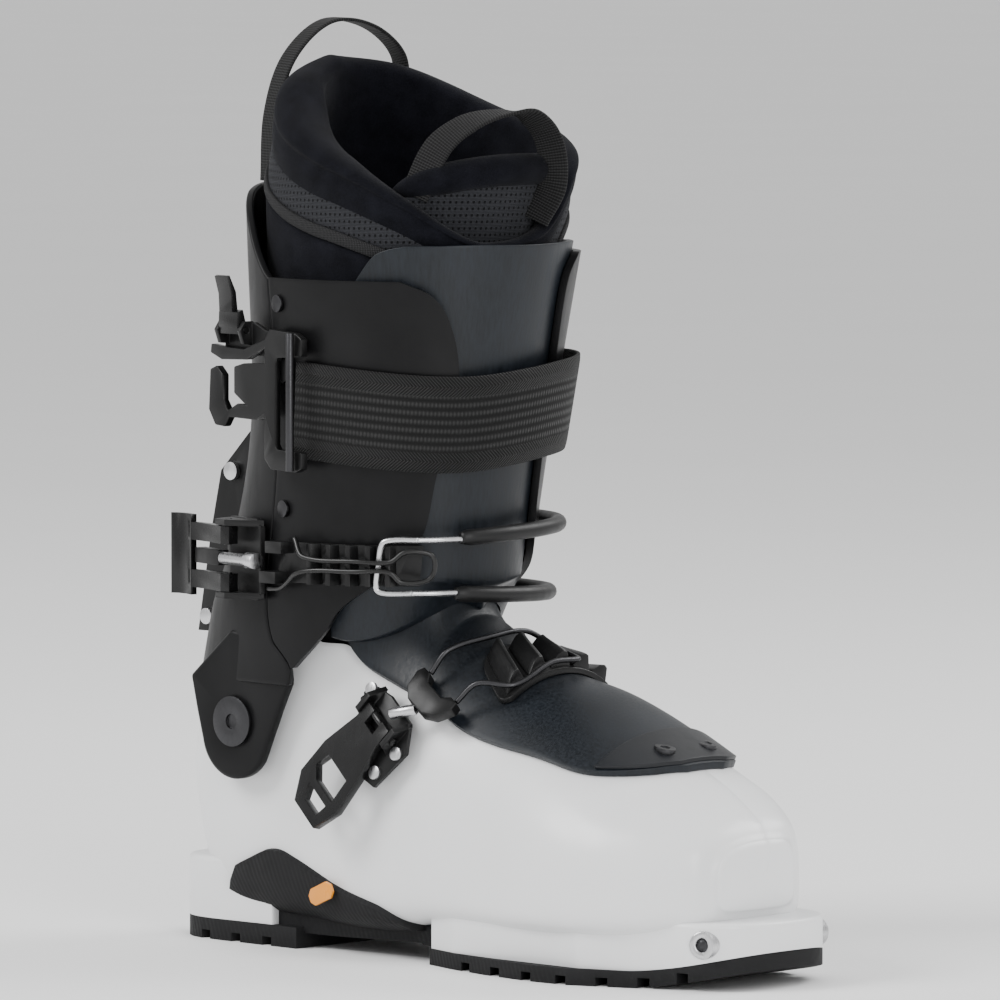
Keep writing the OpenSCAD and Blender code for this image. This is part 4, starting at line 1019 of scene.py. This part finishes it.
def make_power_strap():
    """Power strap round the front of the cuff: its selvedges are slightly thinner than its middle."""
    az = np.linspace(93, -150, 220)
    v = np.linspace(-1, 1, 41)
    grid_v, grid_a = np.meshgrid(v, az, indexing="ij")
    mid = curve(STRAP_MID, grid_a)
    out = CUFF_WALL + curve(STRAP_OUT, grid_a)
    swell = 2.0 - 0.5 * np.abs(grid_v) ** 10
    outer = cuff_point(mid + grid_v * STRAP_HALF, grid_a, out + swell)
    inner_side = cuff_point(mid + grid_v * STRAP_HALF, grid_a, out)
    run = run_of(cuff_point(curve(STRAP_MID, az), az, 5))
    flat = np.stack([np.broadcast_to(run, grid_v.shape), grid_v * STRAP_HALF], -1).reshape(-1, 2)
    piece("power_strap_webbing", [slab(outer, inner_side)], "strap", CUFF_BODY,
          ["power_strap"], (0.4, 60, 2), [np.concatenate([flat, flat])])


REAR_LOOP = [(46, -21, 303), (47, -20, 330), (50, -13, 352), (55, 3, 366), (60, 22, 364), (66, 33, 352),
             (68, 32, 332)]
FRONT_LOOP = [(141, -37, 300), (148, -31, 319), (154, -21, 328), (161, -9, 332), (167, 1, 331),
              (169, 10, 321), (170, 11, 304), (166, 5, 290)]


def make_pull_loops():
    """Pull loops of narrow webbing at the back and on the tongue."""
    for name, node, route, wide, width in (
        ("rear_loop_webbing", "pull_loop_rear", REAR_LOOP, (1, -0.25, 0), 11),
        ("front_loop_webbing", "pull_loop_front", FRONT_LOOP, (0.9, 0.4, 0), 12),
    ):
        path = smooth_path(route, 90)
        part = ribbon(path, wide, width, 1.4)
        count = (len(part[0]) - 2) // len(path)
        across = np.linspace(0, 2 * width, count)
        run = run_of(path)
        flat = np.stack([np.repeat(run, count), np.tile(across, len(path))], 1)
        flat = np.concatenate([flat, [[0, 0], [run[-1], 0]]])
        piece(name, [part], "tape", CUFF_BODY, [node], pattern=[flat])


# ---------- cables ----------

CABLE_Z = 155.5


def rack_line(a, h, out):
    """Point round the cuff at the cuff buckle: angle, height over its middle, and distance out."""
    return cuff_point(CABLE_Z + h, a, CUFF_WALL + out)


def make_cuff_cables():
    """Cuff buckle's cables, rubber sleeves, steel bail and the rack's puller."""
    sleeves = []
    for s in (-1, 1):
        a = np.linspace(23.6, -92, 90)
        h = s * (11 + 3 * np.sin(np.radians(np.clip(24 - a, 0, None))))
        path = cuff_point(CABLE_Z + h, a, CUFF_WALL + 4.2 + 4 * np.exp(-((a + 38) / 26) ** 2))
        ends = smooth_step(0, 0.03, np.linspace(0, 1, 90)) * smooth_step(0, 0.02, np.linspace(1, 0, 90))
        sleeves.append(tube(path, 2.4 + 0.8 * ends, 16))
    piece("cable_sleeve_rubber", sleeves, "sleeve", CUFF_BODY, ["cable_sleeves"])
    cables = [tube(smooth_path([rack_line(41.5, s * 10.5, 7.4), rack_line(32, s * 10.6, 6.6),
                                rack_line(22, s * 10.6, 5.2)], 20), 1.2, 12) for s in (-1, 1)]
    piece("cable_ends", cables, "steel", "cuff_rack", ["cuff_cables"])
    bail = [(41, 10.5), (50, 10.5), (53.5, 9), (54, 0), (53.5, -9), (50, -10.5), (41, -10.5)]
    bail_path = smooth_path([rack_line(a, h, 7.4) for a, h in bail], 80)
    piece("bail_wire", [tube(bail_path, 1.2, 14)], "steel", "cuff_rack", ["cuff_bail"])
    pull = [(93, -11, 5), (88, -10, 6.2), (80, -3, 10.1), (62, -2, 10.1), (50, -2, 10.1), (45, -6, 9.9),
            (36, -5, 9.7), (34, 0, 9.5), (36, 5, 9.7), (45, 6, 9.9), (50, 2, 10.1), (62, 2, 10.1),
            (80, 3, 10.1), (86, 10, 7)]
    cord = tube(smooth_path([rack_line(*p) for p in pull], 200), 1.0, 10)
    piece("rack_puller_cord", [cord], "cable", "cuff_rack", ["rack_puller"])


YOKE_AT = np.array([150, -38.5, 104.0])
# One rack tooth's section: place across the rack from its middle, and height over the pad.
TOOTH = [(-0.16, -0.6), (0.14, -0.6), (0.13, 1.2), (0.09, 5.6), (0.04, 6.0), (-0.04, 4.6), (-0.16, 0.6)]
YOKE_X = unit([0.48, 0.64, 0.6])
YOKE_Z = unit(np.array([0.25, -0.75, 0.6]) - (np.array([0.25, -0.75, 0.6]) @ YOKE_X) * YOKE_X)
YOKE_Y = np.cross(YOKE_Z, YOKE_X)
RACK_LOW = TONGUE_GAP + TONGUE_WALL + 0.2
RACK_PAD = RACK_LOW + 2.4


def yoke_local(x, y, z):
    """Point in the instep yoke's own axes: x along its pull, y across, z away from the shell."""
    return YOKE_AT + YOKE_X * x + YOKE_Y * y + YOKE_Z * z


def rack_point(u, v, out):
    """Point over the instep: u runs across to the inner side, v towards the ankle."""
    return shell_point(30 - 11 * v + 3 * u, -3 - 32 * u - 6 * v, out)


def wire_side(s):
    """One side of the wire, from the yoke over the rack to the tooth it hooks on."""
    over = [(-0.75, 1.12, 4), (-0.2, 1.12, 4), (0.2, 1.08, 3.6), (0.24, 0.8, 3.4)]
    return [yoke_local(7.4, s * 9.6, 0), yoke_local(18, s * 11, 3)] + [
        rack_point(u, s * v, RACK_PAD + out) for u, v, out in over]


def make_instep_catch():
    """Instep buckle's wires and the toothed rack that they hook on."""
    route = wire_side(-1) + [rack_point(0.24, 0, RACK_PAD + 3.4)] + wire_side(1)[::-1]
    wires = tube(smooth_path(route, 220), 1.1, 12)
    piece("instep_wire_loop", [wires], "dark_steel", "instep_yoke", ["instep_wires"])
    v, u = spans(-1, 1, 24, -1, 1, 60)
    corner = 1 - 0.16 * np.abs(v) ** 6
    pad = slab(rack_point(u * corner, v, RACK_PAD), rack_point(u * corner, v, RACK_LOW))
    teeth = []
    for at in (-0.72, -0.36, 0.0, 0.36, 0.72):
        rings = np.array([[rack_point(at + x, y, RACK_PAD + out) for x, out in TOOTH]
                          for y in np.linspace(-0.82, 0.82, 9)])
        teeth.append(ringed(rings))
    piece("instep_rack_ladder", [pad] + teeth, "buckle", SHELL_BODY, ["instep_rack"],
          (0.45, 40, 3))


def make_buckles():
    """Buckle bases, levers, links and racks of moulded plastic, and their steel parts."""
    dress("buckle", 0.5, "strap_anchor", "strap_buckle_base", "strap_frame", "cuff_buckle_base",
          "cuff_rack", "cable_anchor", "instep_buckle_base", "instep_yoke", "cuff_link")
    dress("gloss", 0.6, "strap_lever", "cuff_lever", "instep_lever")
    dress("steel", 0.25, "cuff_adjuster", "instep_link")
    dress("dark_steel", 0.2, "strap_pin")


# ---------- stage ----------

VIEW_AZIMUTH, VIEW_ELEVATION, VIEW_DISTANCE = 43.0, 4.0, 4.0
VIEW_TARGET = (150.0, 2.336, 179.9)
VIEW_LENS = 367.1


def make_camera():
    """Camera: a long lens, turned and raised by the view's angles about its target."""
    a, e = math.radians(VIEW_AZIMUTH), math.radians(VIEW_ELEVATION)
    back = Vector((math.sin(a) * math.cos(e), -math.cos(a) * math.cos(e), math.sin(e)))
    data = bpy.data.cameras.new("camera")
    data.lens = VIEW_LENS
    camera = place_object("camera", data)
    camera.location = Vector(to_frame(VIEW_TARGET)) + back * VIEW_DISTANCE
    camera.rotation_mode = "QUATERNION"
    camera.rotation_quaternion = (-back).to_track_quat("-Z", "Y")
    data.clip_end = 40
    bpy.context.scene.camera = camera


def add_light(name, place, size, power, aim=(0, 0, 0.18)):
    """Rectangular lamp at a place, turned to face its aim."""
    data = bpy.data.lights.new(name, "AREA")
    data.shape = "RECTANGLE"
    data.size, data.size_y = size
    data.energy = power
    light = place_object(name, data)
    light.location = place
    light.rotation_mode = "QUATERNION"
    light.rotation_quaternion = (Vector(aim) - Vector(place)).to_track_quat("-Z", "Y")
    return light


def make_stage():
    """Pale floor, white surroundings and three large soft lights."""
    size = 30.0
    mesh = bpy.data.meshes.new("floor")
    corners = [(-size, -size, 0), (size, -size, 0), (size, size, 0), (-size, size, 0)]
    mesh.from_pydata(corners, [], [(0, 1, 2, 3)])
    floor = place_object("floor", mesh)
    look = Look("floor_pale", (0.9, 0.9, 0.9), 0.6, specular=0.1)
    look.put("Base Color", look.blend((0.88, 0.88, 0.88), (0.92, 0.92, 0.92), look.noise(3.0)))
    floor.data.materials.append(look.material)
    world = bpy.data.worlds.new("surroundings")
    bpy.context.scene.world = world
    world.use_nodes = True
    world.node_tree.nodes["Background"].inputs[0].default_value = (1.0, 1.0, 1.0, 1.0)
    world.node_tree.nodes["Background"].inputs[1].default_value = boot().surround
    add_light("key", (-0.9, -1.5, 1.7), (1.1, 1.1), boot().key_power)
    add_light("front", (1.9, -0.9, 0.9), (0.7, 1.6), boot().key_power * 0.55)
    add_light("back", (0.6, 1.6, 1.5), (1.2, 0.9), boot().key_power * 0.6)


# ---------- add-on ----------


class BootSettings(bpy.types.PropertyGroup):
    """What a user would change."""

    shell_colour: FloatVectorProperty(name="Shell colour", description="Colour of the lower shell",
                                      subtype="COLOR", size=3, default=(0.8, 0.805, 0.81))
    cuff_colour: FloatVectorProperty(name="Cuff colour", description="Colour of the cuff and its wraps",
                                     subtype="COLOR", size=3, default=(0.0028, 0.0028, 0.0032))
    tongue_colour: FloatVectorProperty(name="Tongue colour", description="Colour of both plastic tongues",
                                       subtype="COLOR", size=3, default=(0.005, 0.0072, 0.0105))
    surround: FloatProperty(name="Surroundings", description="Brightness of the white surroundings",
                            default=0.85, min=0.0)
    key_power: FloatProperty(name="Key light", description="Power of the largest light",
                             subtype="POWER", default=44.0, min=0.0)


def piece_operator(name, label, makers):
    """An operator class that builds one piece or group of pieces."""

    def execute(self, context):
        for maker in makers:
            maker()
        return {"FINISHED"}

    words = " ".join(m.__doc__.split()[0] for m in makers if m.__doc__)
    body = {"bl_idname": "boot." + name, "bl_label": label, "__doc__": label + ". " + words,
            "execute": execute, "bl_options": {"REGISTER", "UNDO"}}
    return type("BOOT_OT_" + name, (bpy.types.Operator,), body)


OPERATORS = [
    piece_operator("stage", "Build the stage, lights and camera", [make_stage, make_camera]),
    piece_operator("shell", "Build the lower shell", [make_shell]),
    piece_operator("outsole", "Build the outsole", [make_outsole]),
    piece_operator("fittings", "Finish the shell's fittings", [make_fittings]),
    piece_operator("tongues", "Build the plastic tongues", [make_instep_tongue, make_shin_tongue]),
    piece_operator("cuff", "Build the cuff", [make_cuff]),
    piece_operator("walk_lock", "Finish the walk lock", [make_walk_lock]),
    piece_operator("liner", "Build the liner", [make_collar, make_liner_tongue, make_liner_foot]),
    piece_operator("webbing", "Build the strap and loops", [make_power_strap, make_pull_loops]),
    piece_operator("cables", "Build the cables and wires", [make_cuff_cables, make_instep_catch]),
    piece_operator("buckles", "Finish the buckles", [make_buckles]),
]


class BOOT_PT_panel(bpy.types.Panel):
    """Lists the boot's operators and settings."""

    bl_label = "Touring boot"
    bl_idname = "BOOT_PT_panel"
    bl_space_type = "VIEW_3D"
    bl_region_type = "UI"
    bl_category = "Boot"

    def draw(self, context):
        for name in BootSettings.__annotations__:
            self.layout.prop(context.scene.boot_settings, name)
        for operator in OPERATORS:
            self.layout.operator(operator.bl_idname)


def register():
    bpy.utils.register_class(BootSettings)
    bpy.types.Scene.boot_settings = PointerProperty(type=BootSettings)
    for operator in OPERATORS:
        bpy.utils.register_class(operator)
    bpy.utils.register_class(BOOT_PT_panel)


def unregister():
    bpy.utils.unregister_class(BOOT_PT_panel)
    for operator in reversed(OPERATORS):
        bpy.utils.unregister_class(operator)
    del bpy.types.Scene.boot_settings
    bpy.utils.unregister_class(BootSettings)


def main():
    register()
    for operator in OPERATORS:
        getattr(bpy.ops.boot, operator.bl_idname.split(".")[1])()


if __name__ == "__main__":
    main()
